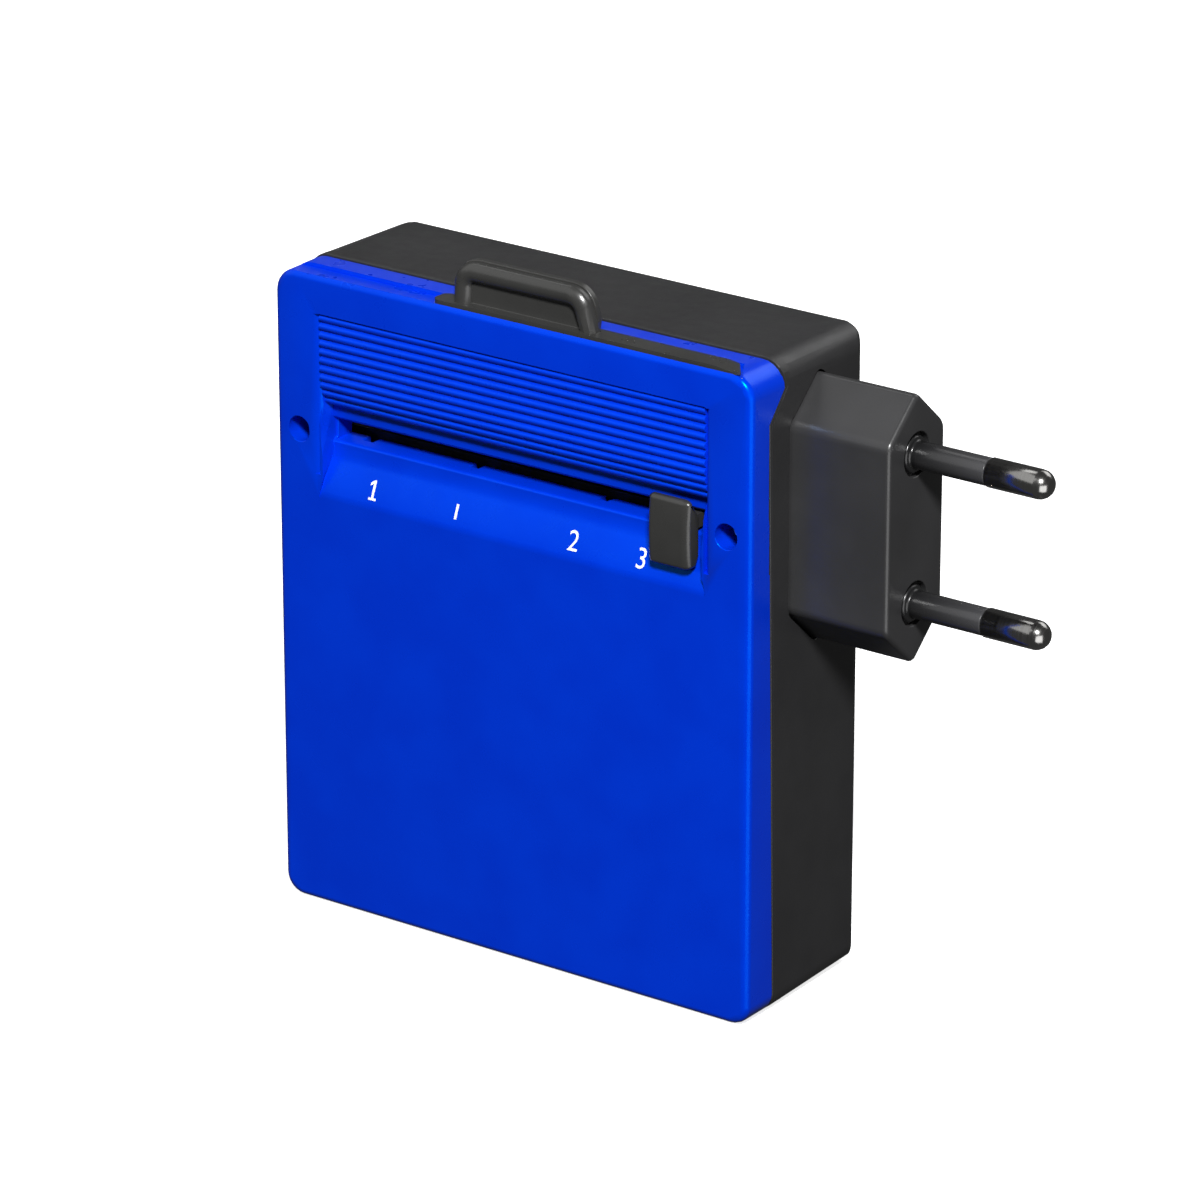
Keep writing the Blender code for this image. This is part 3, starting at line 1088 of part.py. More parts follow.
def grip_corners(top):
    """The middle line of the grip's rim, anticlockwise from the left foot, as (x, z)."""
    root, high = top - 0.7 * MM, top + GRIP_RISE
    return [(GRIP_LEFT, root), (GRIP_RIGHT + GRIP_SPLAY, root), (GRIP_RIGHT, high), (GRIP_LEFT, high)]


def make_grip_plate(name, top, grow, front, back):
    """A plate that fills the grip between two depths, and stands out past its round bar by grow."""
    foot = top - 0.3 * MM - grow / 2
    outline = rounded(grip_corners(top), GRIP_BEND, GRIP_RADIUS + grow, 6)
    outline = [(x, max(z, foot)) for x, z in outline]
    return prism(name, [outline], "Y", deep(front), deep(back), cutter=True)


def make_grip_rim(top):
    """A round bar bent over the web, with its right leg splayed, cut off level inside the strip."""
    foot = top - 0.25 * MM
    left_foot, right_foot = grip_corners(top)[:2]
    bends = rounded(grip_corners(top), GRIP_BEND, 0.0, 6)[14:]
    path = [right_foot, *bends, left_foot]
    curve = bpy.data.curves.new("grip_rim", "CURVE")
    curve.dimensions = "3D"
    curve.bevel_depth = GRIP_RADIUS
    curve.bevel_resolution = 3
    curve.use_fill_caps = True
    spline = curve.splines.new("POLY")
    spline.points.add(len(path) - 1)
    for point, (x, z) in zip(spline.points, path):
        point.co = (x, 0.0, z, 1.0)
    guide = bpy.data.objects.new("grip_rim", curve)
    cutters.objects.link(guide)
    bpy.context.view_layer.update()
    mesh = bpy.data.meshes.new_from_object(guide.evaluated_get(bpy.context.evaluated_depsgraph_get()))
    bpy.data.objects.remove(guide, do_unlink=True)
    form = bmesh.new()
    form.from_mesh(mesh)
    bpy.data.meshes.remove(mesh)
    bmesh.ops.remove_doubles(form, verts=form.verts, dist=1e-6)
    for vertex in form.verts:
        vertex.co.y = deep(GRIP_DEPTH) + vertex.co.y * GRIP_HALF_DEPTH / GRIP_RADIUS
        vertex.co.z = max(vertex.co.z, foot)
    return mesh_object("grip_rim", form, cutter=True)


# --- Assembly ----------------------------------------------------------------------------------------

LIVE_DROP_X = INNER_X - 1.0 * MM - BAR_HEIGHT / 2
NEUTRAL_DROP_X = 6.5 * MM
BLOCK_SCREW_X = BLOCK_LEFT + 2.6 * MM
BLOCK_SCREW_END = PIN_SPACING / 2 + PIN_RADIUS + 1.0 * MM


def pivot(name, place, children):
    """Parents pieces to an empty on their joint's axis without moving them."""
    empty = bpy.data.objects.new(name, None)
    empty.empty_display_size = 5 * MM
    empty.location = place
    parts.objects.link(empty)
    for child in children:
        child.parent = empty
        child.matrix_parent_inverse = Matrix.Translation(place).inverted()
    return empty


def build():
    make_rear_shell()
    make_front_cover()
    make_cover_screw("cover_screw_left", -1)
    make_cover_screw("cover_screw_right", 1)
    make_socket_insert()
    make_socket_contact("socket_contact_neutral", -1)
    make_socket_contact("socket_contact_live", 1)
    make_fuse()
    make_fuse_clip("fuse_clip_left", -1)
    make_fuse_clip("fuse_clip_right", 1)
    make_bus_bar("bus_bar_live", PLUG_Z + 7.5 * MM, -INNER_X + 2 * MM, LIVE_DROP_X, LIVE_DROP_X, FUSE_Z - 2 * MM)
    make_bus_bar("bus_bar_neutral", PLUG_Z - 7.5 * MM, -INNER_X + 2 * MM, 27 * MM, NEUTRAL_DROP_X, 14 * MM)

    blades = {}
    for word, side in (("upper", 1), ("lower", -1)):
        centre = (CARRIAGE_LEFT, deep(PLUG_DEPTH), PLUG_Z + side * BLADE_SPACING / 2)
        pieces = [make_barrel(f"blade_barrel_{word}", side), make_blade(f"plug_blade_{word}", side)]
        blades[word] = pivot(f"blade_axis_{word}", centre, pieces)
    riders = [make_carriage(), make_selector_knob(), make_detent_spring(), make_blade_retainer(),
              make_euro_block(), make_block_screw("block_screw_upper", 1), make_block_screw("block_screw_lower", -1),
              make_euro_pin("euro_pin_upper", 1), make_euro_pin("euro_pin_lower", -1),
              make_euro_sleeve("euro_sleeve_upper", 1), make_euro_sleeve("euro_sleeve_lower", -1),
              make_plug_contact("plug_contact_live", 1), make_plug_contact("plug_contact_neutral", -1)]
    pivot("selector_axis", (STATION_EUROPE, deep(0.0), SLOT_Z), riders + list(blades.values()))

    uk_pieces = [make_uk_carriage()] + [make_uk_pin(*pin) for pin in british_pins()]
    pivot("uk_axis", (BRITISH_X, deep(WALL), BRITISH_ROW_Z), uk_pieces)
    pivot("grip_axis", (0.0, deep(STRIP_FRONT + STRIP_WIDTH / 2), GROOVE_FLOOR_Z), [make_grip_slider()])


build()
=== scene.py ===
# %% [markdown]
# # A travel adapter in blue and charcoal plastic
# The real object is a pocket-sized block of two mouldings. A blue cover with a ribbed scoop closes onto a
# charcoal shell, a knob in a slot pushes out one plug or another, and a strip with a finger grip slides on top.
# The exact solids already exist, so this lesson gives them soft edges, real finishes, print and light.

# %% Load the solids
import math

import bmesh
import bpy
import numpy as np
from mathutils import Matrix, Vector


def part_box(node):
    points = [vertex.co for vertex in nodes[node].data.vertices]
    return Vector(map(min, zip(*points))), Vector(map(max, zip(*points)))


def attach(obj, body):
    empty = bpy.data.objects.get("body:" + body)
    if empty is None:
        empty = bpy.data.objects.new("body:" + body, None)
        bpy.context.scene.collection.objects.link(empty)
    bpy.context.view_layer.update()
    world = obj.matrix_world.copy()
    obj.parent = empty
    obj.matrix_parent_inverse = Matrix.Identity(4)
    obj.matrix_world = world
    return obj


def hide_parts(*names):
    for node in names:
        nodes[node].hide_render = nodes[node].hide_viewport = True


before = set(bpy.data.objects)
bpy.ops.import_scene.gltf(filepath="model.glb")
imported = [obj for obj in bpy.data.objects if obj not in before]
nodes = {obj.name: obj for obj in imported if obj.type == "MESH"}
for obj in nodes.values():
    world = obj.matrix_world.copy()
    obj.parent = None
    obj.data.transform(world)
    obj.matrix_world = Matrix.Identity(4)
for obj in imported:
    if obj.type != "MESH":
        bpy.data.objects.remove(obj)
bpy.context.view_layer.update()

MM = 0.001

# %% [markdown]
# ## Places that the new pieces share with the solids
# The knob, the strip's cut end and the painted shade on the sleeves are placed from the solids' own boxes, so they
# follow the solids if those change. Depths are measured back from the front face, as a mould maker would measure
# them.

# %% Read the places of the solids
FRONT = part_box("front_cover")[0].y
block_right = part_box("euro_plug_block")[1].x
sleeve_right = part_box("euro_sleeve_upper")[1].x
knob_low, knob_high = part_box("selector_knob")
strip_low, strip_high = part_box("grip_slider")
fuse_low, fuse_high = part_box("fuse")
print("front face at y", round(FRONT / MM, 2), "mm, knob", [round(v / MM, 1) for v in knob_high - knob_low], "mm")


# %% [markdown]
# ## Colours and nodes
# Colours are written as the hex values that a paint chart gives. Blender's shaders want linear light, so one
# function converts them. A second function adds a shader node with its settings and links in one call,
# which keeps each material short enough to read as a recipe.

# %% Convert a hex colour to linear light
def linear(hex_colour):
    """Each channel c is divided by 12.92 below 0.04045, and is ((c + 0.055) / 1.055) to the power 2.4 above."""
    channels = np.array([int(hex_colour[i:i + 2], 16) for i in (1, 3, 5)]) / 255
    low, high = channels / 12.92, ((channels + 0.055) / 1.055) ** 2.4
    return (*np.where(channels <= 0.04045, low, high).tolist(), 1.0)


print("mid grey #808080 is", round(linear("#808080")[0], 3), "in linear light")


# %% Add a node with its settings and links
def feed(node, **inputs):
    """Sets a node's inputs, each to a number, a colour or a vector, or to a socket that it links from.

    An underscore in an input's name stands for a space, and n with a number is the socket's place.
    """
    for name, value in inputs.items():
        by_place = name[0] == "n" and name[1:].isdigit()
        socket = node.inputs[int(name[1:]) if by_place else name.replace("_", " ")]
        if isinstance(value, bpy.types.NodeSocket):
            node.id_data.links.new(value, socket)
        else:
            socket.default_value = value


def add(tree, kind, settings=None, give=0, **inputs):
    """Adds a node with its settings, feeds its inputs, and returns the output whose place or name is give."""
    node = tree.nodes.new("ShaderNode" + kind)
    for name, value in (settings or {}).items():
        setattr(node, name, value)
    feed(node, **inputs)
    return node.outputs[give]


def new_material(name):
    """An empty node material, its tree and its Principled shader."""
    material = bpy.data.materials.new(name)
    material.use_nodes = True
    return material, material.node_tree, material.node_tree.nodes["Principled BSDF"]


COLOUR_MIX = {"data_type": "RGBA"}
MIXED_COLOUR = 2
print("an input is written as", "Base_Color".replace("_", " "), "or by its place, as n6")


# %% Grow a grain of a real size
# Nearly all of a noise lies between these two values, so a pattern is stretched from them to its full range.
NOISE_LOW = 0.3
NOISE_HIGH = 0.7


def grain(tree, size_mm):
    """A noise whose blobs are about this many millimetres across, at each point's place on the object."""
    return add(tree, "TexNoise", Vector=add(tree, "TexCoord", give="Object"), Scale=1 / (size_mm * MM))


print("a grain 0.5 mm across has a noise scale of", 1 / (0.5 * MM))

# %% [markdown]
# ## Plastics
# All the housing pieces are ABS, moulded in steel tools. The blue cover's tool was polished and then lightly
# blasted, which gives a soft sheen. The shell's tool was spark-eroded, which leaves a fine grain that breaks
# up highlights. That grain is about 0.1 mm across, and it is drawn twice as coarse so that it shows. The
# pigment of the cover is so strong that even its reflections look blue, so its specular tint is blue too.

# %% Mould a plastic
PLASTIC_IOR = 1.53
CLOUD_MM = 9.0
CLOUD_LOW = 0.35
CLOUD_HIGH = 0.65
SHEEN_MM = 2.5
SHEEN_CHANGE = 0.04


def moulded(name, dark, light, roughness, grain_mm, depth_mm, specular=0.5, tint="#FFFFFF"):
    """Injection-moulded plastic: two close shades in broad clouds, over a fine grain of the tool's surface.

    The roughness drifts a little to either side. The grain is grain_mm across and depth_mm deep.
    """
    material, tree, shader = new_material(name)
    clouds = add(tree, "MapRange", Value=grain(tree, CLOUD_MM), From_Min=CLOUD_LOW, From_Max=CLOUD_HIGH)
    feed(shader, IOR=PLASTIC_IOR, Specular_IOR_Level=specular, Specular_Tint=linear(tint),
         Base_Color=add(tree, "Mix", COLOUR_MIX, MIXED_COLOUR, n0=clouds, n6=linear(dark), n7=linear(light)),
         Roughness=add(tree, "MapRange", Value=grain(tree, SHEEN_MM), From_Min=NOISE_LOW, From_Max=NOISE_HIGH,
                       To_Min=roughness - SHEEN_CHANGE, To_Max=roughness + SHEEN_CHANGE),
         Normal=add(tree, "Bump", Height=grain(tree, grain_mm), Distance=depth_mm * MM, Strength=1.0))
    return material


blue_abs = moulded("blasted_blue_abs", "#002FC8", "#0033CE", 0.3, 0.22, 0.0015, 1.0, "#009CFF")
charcoal_abs = moulded("spark_eroded_charcoal_abs", "#262627", "#2A2A2B", 0.42, 0.22, 0.012, 0.4)
plug_abs = moulded("satin_charcoal_abs", "#2E2E2F", "#333334", 0.32, 0.3, 0.006)
grip_abs = moulded("satin_grey_abs", "#2F2F2E", "#343433", 0.3, 0.25, 0.006)
sleeve_nylon = moulded("glossy_black_nylon", "#161617", "#1A1A1B", 0.26, 0.5, 0.003)
natural_nylon = moulded("natural_nylon", "#CFC8B4", "#DAD4C2", 0.48, 0.3, 0.006)
plastics = (blue_abs, charcoal_abs, plug_abs, grip_abs, sleeve_nylon, natural_nylon)
print("plastics:", [material.name for material in plastics])

# %% [markdown]
# ## Painted shade on the sleeves
# A black sleeve covers the half of each round pin beside the plug. Its colour holds painted shade: it is painted
# darkest beside the plug block, which shades it, and fades to a paler grey towards its outer end.

# %% Paint shade on the sleeves beside the plug
# Painted shade: beside the block the sleeve keeps its full painted darkness for this width.
FULL_SHADE_WIDTH = 1.0 * MM


def paint_block_shade(material, start, end, colour):
    """Painted shade: the plain dark colour beside the block fades along x, from start to end, into this paler colour.
    """
    tree = material.node_tree
    shader = tree.nodes["Principled BSDF"]
    plain = shader.inputs["Base Color"].links[0].from_socket
    across = add(tree, "SeparateXYZ", give="X", Vector=add(tree, "TexCoord", give="Object"))
    lightened = add(tree, "MapRange", Value=across, From_Min=start, From_Max=end)
    feed(shader, Base_Color=add(tree, "Mix", COLOUR_MIX, MIXED_COLOUR, n0=lightened, n6=plain, n7=linear(colour)))


# Painted shade: the sleeves are painted dark beside the plug block and paler grey towards their outer ends.
paint_block_shade(sleeve_nylon, block_right + FULL_SHADE_WIDTH, sleeve_right, "#3A3A3C")
print("sleeves are rubbed up to x", round(sleeve_right / MM, 1), "mm")

# %% [markdown]
# ## Metals
# The pins are turned brass with bright nickel plate, so fine rings run round them. Strip parts are rolled,
# which leaves straight lines. Both are a stretched noise: long in one direction and fine across it. Real
# lines are about 0.05 mm apart, and they are drawn two to four times as coarse so that they show.

# %% Plate and roll the metals
LINE_LENGTH_MM = 12
LINE_DEPTH_MM = 0.002
GLOSS_SPREAD = 0.3


def drawn_metal(name, dark, light, roughness, line_mm, axis):
    """Metal with fine lines. The noise is squeezed to the lines' spacing along one axis, and long on the others."""
    material, tree, shader = new_material(name)
    stretch = [1 / (LINE_LENGTH_MM * MM)] * 3
    stretch["XYZ".index(axis)] = 1 / (line_mm * MM)
    squeezed = add(tree, "Mapping", Vector=add(tree, "TexCoord", give="Object"), Scale=stretch)
    lines = add(tree, "TexNoise", Vector=squeezed, Scale=1.0, Detail=3.0)
    feed(shader, Metallic=1.0,
         Base_Color=add(tree, "Mix", COLOUR_MIX, MIXED_COLOUR, n0=lines, n6=linear(dark), n7=linear(light)),
         Roughness=add(tree, "MapRange", Value=lines, From_Min=NOISE_LOW, From_Max=NOISE_HIGH,
                       To_Min=roughness * (1 - GLOSS_SPREAD), To_Max=roughness * (1 + GLOSS_SPREAD)),
         Normal=add(tree, "Bump", Height=lines, Distance=LINE_DEPTH_MM * MM, Strength=1.0))
    return material


nickel = drawn_metal("nickel_plated_turned_brass", "#868583", "#A9A8A6", 0.2, 0.15, "X")
brass_bar = drawn_metal("bright_drawn_brass", "#C09A50", "#D9B972", 0.22, 0.2, "Y")
brass_strip = drawn_metal("rolled_brass_strip", "#B08A45", "#CDA962", 0.3, 0.12, "X")
zinc = drawn_metal("zinc_plated_steel", "#8F9094", "#B2B3B6", 0.3, 0.2, "Y")
spring_steel = drawn_metal("spring_steel_strip", "#7C7D80", "#9D9EA1", 0.28, 0.12, "Z")
print("metals:", [material.name for material in (nickel, brass_bar, brass_strip, zinc, spring_steel)])

# %% [markdown]
# ## Glass and print
# The fuse is a glass tube between two plated caps. One material covers both: a mask along the tube's length
# turns the ends into metal. The print on the cover is white pad-printing ink, a thin matt film.

# %% Make the fuse's material
CAPS_START = 5.0 * MM
GLASS_ROUGHNESS = 0.05
CAP_ROUGHNESS = 0.22
GLASS_CLEARNESS = 0.85
fuse_middle = (fuse_low.x + fuse_high.x) / 2
fuse_glass, tree, shader = new_material("glass_tube_with_plated_caps")
along = add(tree, "SeparateXYZ", give="X", Vector=add(tree, "TexCoord", give="Object"))
from_middle = add(tree, "Math", {"operation": "SUBTRACT"}, n0=along, n1=fuse_middle)
distance = add(tree, "Math", {"operation": "ABSOLUTE"}, n0=from_middle)
cap = add(tree, "Math", {"operation": "GREATER_THAN"}, n0=distance, n1=CAPS_START)
feed(shader, Metallic=cap,
     Base_Color=add(tree, "Mix", COLOUR_MIX, MIXED_COLOUR, n0=cap, n6=linear("#DCE4E0"), n7=linear("#C4C2BC")),
     Roughness=add(tree, "MapRange", Value=cap, To_Min=GLASS_ROUGHNESS, To_Max=CAP_ROUGHNESS),
     Transmission_Weight=add(tree, "MapRange", Value=cap, To_Min=GLASS_CLEARNESS, To_Max=0.0))
print("fuse's glass is", 2 * CAPS_START / MM, "mm long, about x", round(fuse_middle / MM, 1), "mm")

# %% Mix the ink
INK_MOTTLE_MM = 0.4
ink, tree, shader = new_material("white_pad_printing_ink")
mottle = grain(tree, INK_MOTTLE_MM)
feed(shader, Roughness=0.5,
     Base_Color=add(tree, "Mix", COLOUR_MIX, MIXED_COLOUR, n0=mottle, n6=linear("#E4E6EA"), n7=linear("#F6F7F8")))
print("ink:", ink.name)

# %% [markdown]
# ## Soft edges
# No moulded or pressed piece has knife edges: a tool leaves about a fifth of a millimetre of radius, and that
# sliver of rounding is what catches the light. A solid arrives as loose triangles, so a copy is merged, and
# flat triangles are joined into whole faces. Then a Bevel rounds what is left sharp. Where a hole or a notch
# leaves little room, a full radius would run into its neighbour, so each edge takes the share that fits.

# %% Give each sharp edge the rounding that it has room for
ROOM_SHARE = 0.45
LEAST_ROUNDING = 0.5


def corner_room(corner):
    """The room at a vertex: the least, over its faces, of the shorter side times the sine of the corner's angle."""
    return min(min(loop.edge.calc_length(), loop.link_loop_prev.edge.calc_length())
               * math.sin(min(loop.calc_angle(), math.pi / 2)) for loop in corner.link_loops)


def share_rounding(form, edge_mm, sharp):
    """A sharp edge takes the share of the full radius that its ends have room for, or none if that is too little.

    Two roundings may meet on a face, so each takes a little under half of the room. sharp is in degrees.
    """
    share = form.edges.layers.float.new("bevel_weight_edge")
    for edge in form.edges:
        if len(edge.link_faces) == 2 and edge.calc_face_angle(0.0) > math.radians(sharp):
            fitting = ROOM_SHARE * min(corner_room(corner) for corner in edge.verts) / (edge_mm * MM)
            edge[share] = min(1.0, fitting) if fitting >= LEAST_ROUNDING else 0.0


print("a radius of 0.15 mm needs", round(LEAST_ROUNDING / ROOM_SHARE * 0.15, 2), "mm of room at each end")

# %% [markdown]
# ## Flat faces that stay flat
# Smooth shading averages the normals where faces meet, and a large flat face beside a row of thin bevel faces
# would then look bent. Here each normal is an average by area, so the large face wins, and the thin faces
# turn the light from one large face to the next.

# %% Keep large faces flat beside their rounded edges
SMOOTH_REACH = 50


def shade_by_area(mesh):
    """At each face's corner, average by area the normals of the faces there that turn under SMOOTH_REACH degrees."""
    around = [[] for _ in mesh.vertices]
    for face in mesh.polygons:
        for vertex in face.vertices:
            around[vertex].append(face)
    limit = math.cos(math.radians(SMOOTH_REACH))
    normals = [None] * len(mesh.loops)
    for face in mesh.polygons:
        for loop in face.loop_indices:
            near = [other for other in around[mesh.loops[loop].vertex_index] if other.normal.dot(face.normal) > limit]
            total = sum((other.normal * other.area for other in near), Vector())
            normals[loop] = total.normalized() if total.length > 0 else face.normal
    mesh.normals_split_custom_set(normals)


print("faces share a soft corner up to", SMOOTH_REACH, "degrees")

# %% Merge a solid's triangles into flat faces
MERGE_DISTANCE = 0.004 * MM
FLAT_WITHIN = math.radians(0.6)
SLIVER = 0.01 * MM
MOST_CORNERS = 4


def merged_form(solid, trim=None):
    """The solid's triangles, merged and joined into flat faces of at most MOST_CORNERS corners.

    trim is a point and an outward direction: what lies beyond that plane is cut away and capped.
    """
    form = bmesh.new()
    form.from_mesh(solid.data)
    bmesh.ops.remove_doubles(form, verts=form.verts, dist=MERGE_DISTANCE)
    bmesh.ops.dissolve_limit(form, angle_limit=FLAT_WITHIN, verts=form.verts, edges=form.edges)
    bmesh.ops.dissolve_degenerate(form, edges=form.edges, dist=SLIVER)
    if trim:
        everything = form.verts[:] + form.edges[:] + form.faces[:]
        cut = bmesh.ops.bisect_plane(form, geom=everything, plane_co=trim[0], plane_no=trim[1], clear_outer=True)
        rim = [part for part in cut["geom_cut"] if isinstance(part, bmesh.types.BMEdge)]
        bmesh.ops.holes_fill(form, edges=rim)
    bmesh.ops.triangulate(form, faces=[face for face in form.faces if len(face.verts) > MOST_CORNERS])
    return form


test_form = merged_form(nodes["front_cover"])
print("cover:", len(nodes["front_cover"].data.polygons), "triangles, merged into", len(test_form.faces), "faces")
test_form.free()

# %% Round a copy's edges
EDGE_STEPS = 2


def round_edges(piece, edge_mm):
    """Applies a Bevel of this radius, by each edge's own share, and shades the result by area."""
    bevel = piece.modifiers.new("mould_radius", "BEVEL")
    bevel.width = edge_mm * MM
    bevel.segments = EDGE_STEPS
    bevel.limit_method = "WEIGHT"
    bevel.use_clamp_overlap = False
    bevel.loop_slide = False
    bpy.context.view_layer.update()
    rounded = piece.evaluated_get(bpy.context.evaluated_depsgraph_get())
    piece.data = bpy.data.meshes.new_from_object(rounded)
    piece.modifiers.clear()
    shade_by_area(piece.data)


def into_scene(name, data):
    """Puts a mesh, a text, a lamp or a camera into the scene, as an object at the origin."""
    thing = bpy.data.objects.new(name, data)
    bpy.context.scene.collection.objects.link(thing)
    return thing


print("each rounding has", EDGE_STEPS, "steps")


# %% Finish a copy of a solid
def finish_copy(piece_name, node, material, body, edge_mm=0.15, sharp=38, trim=None):
    """A merged copy of a solid with rounded edges. It stands for the solid and rides on the same body.

    An edge is sharp where its faces turn more than sharp degrees. An edge_mm of 0 leaves all edges as they are.
    """
    form = merged_form(nodes[node], trim)
    if edge_mm:
        share_rounding(form, edge_mm, sharp)
    mesh = bpy.data.meshes.new(piece_name)
    form.to_mesh(mesh)
    form.free()
    mesh.materials.clear()
    mesh.materials.append(material)
    mesh.shade_smooth()
    mesh.set_sharp_from_angle(angle=math.radians(sharp))
    piece = into_scene(piece_name, mesh)
    if edge_mm:
        round_edges(piece, edge_mm)
    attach(piece, body)
    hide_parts(node)
    return piece


cover = finish_copy("cover_moulding", "front_cover", blue_abs, "housing")
print("cover:", len(cover.data.polygons), "faces")

# %% [markdown]
# ## Shell, strip, plug and pins
# The shell's tool has a slightly larger radius than the cover's. The strip that slides on top has its front
# right corner cut off at a slant, so its copy is trimmed by a plane. The round pins are already turned with
# domed ends, so their edges stay as they are, and the stamped blades and square pins get a small radius.

# %% Finish the shell, the strip, the plug and the pins
CHAMFER_ALONG = 1.4 * MM
CHAMFER_ACROSS = 1.2 * MM
chamfer = ((strip_high.x - CHAMFER_ALONG, strip_low.y, 0), (CHAMFER_ACROSS, -CHAMFER_ALONG, 0))
finish_copy("shell_moulding", "rear_shell", charcoal_abs, "housing", 0.18)
finish_copy("socket_face", "socket_insert", charcoal_abs, "housing")
finish_copy("top_strip_with_grip", "grip_slider", grip_abs, "grip", trim=chamfer)
finish_copy("plug_body", "euro_plug_block", plug_abs, "selector_carriage")
for word in ("upper", "lower"):
    finish_copy(f"round_pin_{word}", f"euro_pin_{word}", nickel, "selector_carriage", 0.0, sharp=30)
    finish_copy(f"pin_sleeve_{word}", f"euro_sleeve_{word}", sleeve_nylon, "selector_carriage", 0.1)
    finish_copy(f"flat_blade_{word}", f"plug_blade_{word}", nickel, f"blade_{word}", 0.12)
    finish_copy(f"blade_holder_{word}", f"blade_barrel_{word}", natural_nylon, f"blade_{word}", 0.1)
for name in ("uk_pin_live", "uk_pin_neutral", "uk_pin_earth"):
    finish_copy(name.replace("uk", "square"), name, brass_bar, "british_plug", 0.12)


# %% [markdown]
# ## The knob
# The knob is a soft pillow of plastic, about as big as a fingertip. Its side view is a rounded polygon that
# bulges in front, and that outline is carried from left to right. Near each end it shrinks by a quarter of an
# ellipse, which rounds the ends off. One grid of points does it all, so no edge needs a bevel.

# %% Work out a rounded outline that can shrink
def rounded_outline(corners, radii, steps):
    """Centres, radii and directions of a convex outline's points, so that a point is centre + radius * direction.

    Each corner is an arc about a centre that lies its radius inside both sides, and each side is a straight blend
    between two arcs. Taking the same amount off every radius moves the whole outline inwards evenly.
    """
    side = np.roll(corners, -1, axis=0) - corners
    side /= np.linalg.norm(side, axis=1)[:, None]
    before = np.roll(side, 1, axis=0)
    start = np.arctan2(-before[:, 0], before[:, 1])
    turn = np.arctan2(before[:, 0] * side[:, 1] - before[:, 1] * side[:, 0], (before * side).sum(axis=1))
    middle = start + turn / 2
    centres = corners - (radii / np.cos(turn / 2))[:, None] * np.stack([np.cos(middle), np.sin(middle)], axis=1)
    share = np.linspace(0, 1, steps)
    arcs = start[:, None] + turn[:, None] * share
    inner = share[1:-1]
    after = np.roll(centres, -1, axis=0)
    along = centres[:, None] * (1 - inner)[:, None] + after[:, None] * inner[:, None]
    widths = radii[:, None] * (1 - inner) + np.roll(radii, -1)[:, None] * inner
    angles = np.concatenate([arcs, np.repeat(arcs[:, -1:], steps - 2, axis=1)], axis=1).ravel()
    middles = np.concatenate([np.repeat(centres[:, None], steps, axis=1), along], axis=1).reshape(-1, 2)
    widths = np.concatenate([np.repeat(radii[:, None], steps, axis=1), widths], axis=1).ravel()
    return middles, widths, np.stack([np.cos(angles), np.sin(angles)], axis=1)


square = np.array([(0.0, 0.0), (1.0, 0.0), (1.0, 1.0), (0.0, 1.0)])
print("a rounded square of 5 steps has", len(rounded_outline(square, np.full(4, 0.2), 5)[0]), "points")

# %% Draw the knob's side view
# Each corner is a depth behind the front face and a height, and it has its own radius. The knob stops a little
# short of its solid at the top and the bottom, which leaves it some play.
KNOB_STEPS = 9
KNOB_PLAY = 0.1 * MM
KNOB_BOTTOM = knob_low.z + KNOB_PLAY
KNOB_TOP = knob_high.z - KNOB_PLAY
KNOB_FACE = -0.8 * MM
KNOB_BACK = 1.62 * MM
knob_corners = np.array([(KNOB_FACE, KNOB_BOTTOM), (0.9 * MM, KNOB_BOTTOM), (KNOB_BACK, KNOB_BOTTOM + 1.5 * MM),
                         (KNOB_BACK, KNOB_TOP - 2.3 * MM), (-0.1 * MM, KNOB_TOP), (KNOB_FACE, KNOB_TOP)])
knob_radii = np.array([0.65, 0.75, 0.8, 0.9, 0.7, 0.65]) * MM
middles, widths, directions = rounded_outline(knob_corners, knob_radii, KNOB_STEPS)
print("knob's outline:", len(middles), "points,", round((KNOB_TOP - KNOB_BOTTOM) / MM, 1), "mm high")

# %% Carry the outline along the knob
KNOB_BULGE = 0.3 * MM
KNOB_BULGE_DEPTH = 2.4 * MM
KNOB_SHRINK = 0.62 * MM
KNOB_LEFT_ROUND = 0.7 * MM
KNOB_RIGHT_ROUND = 1.15 * MM
KNOB_WELD = 0.002 * MM


def knob_points():
    """The outline at each place along x, as a grid of points: rows along the knob and columns round it.

    Over a quarter turn at each end, x moves in by 1 - cos of the turn and the outline shrinks by 1 - sin of it.
    The front bulges by 1 - rise squared, with rise from -1 at the bottom to 1 at the top.
    """
    quarter = np.linspace(0, math.pi / 2, KNOB_STEPS)
    left = knob_low.x + KNOB_LEFT_ROUND * (1 - np.cos(quarter))
    right = knob_high.x - KNOB_RIGHT_ROUND * (1 - np.cos(quarter))
    along = np.concatenate([left, right[::-1]])
    shrink = KNOB_SHRINK * np.concatenate([1 - np.sin(quarter), (1 - np.sin(quarter))[::-1]])
    flat = middles + (widths - shrink[:, None])[:, :, None] * directions
    depth, height = flat[..., 0], flat[..., 1]
    rise = (height - KNOB_BOTTOM) / (KNOB_TOP - KNOB_BOTTOM) * 2 - 1
    in_front = np.clip((KNOB_BACK - depth) / KNOB_BULGE_DEPTH, 0, 1)
    depth = depth - KNOB_BULGE * (1 - rise ** 2) * in_front
    return np.stack([np.broadcast_to(along[:, None], depth.shape), FRONT + depth, height], axis=2)


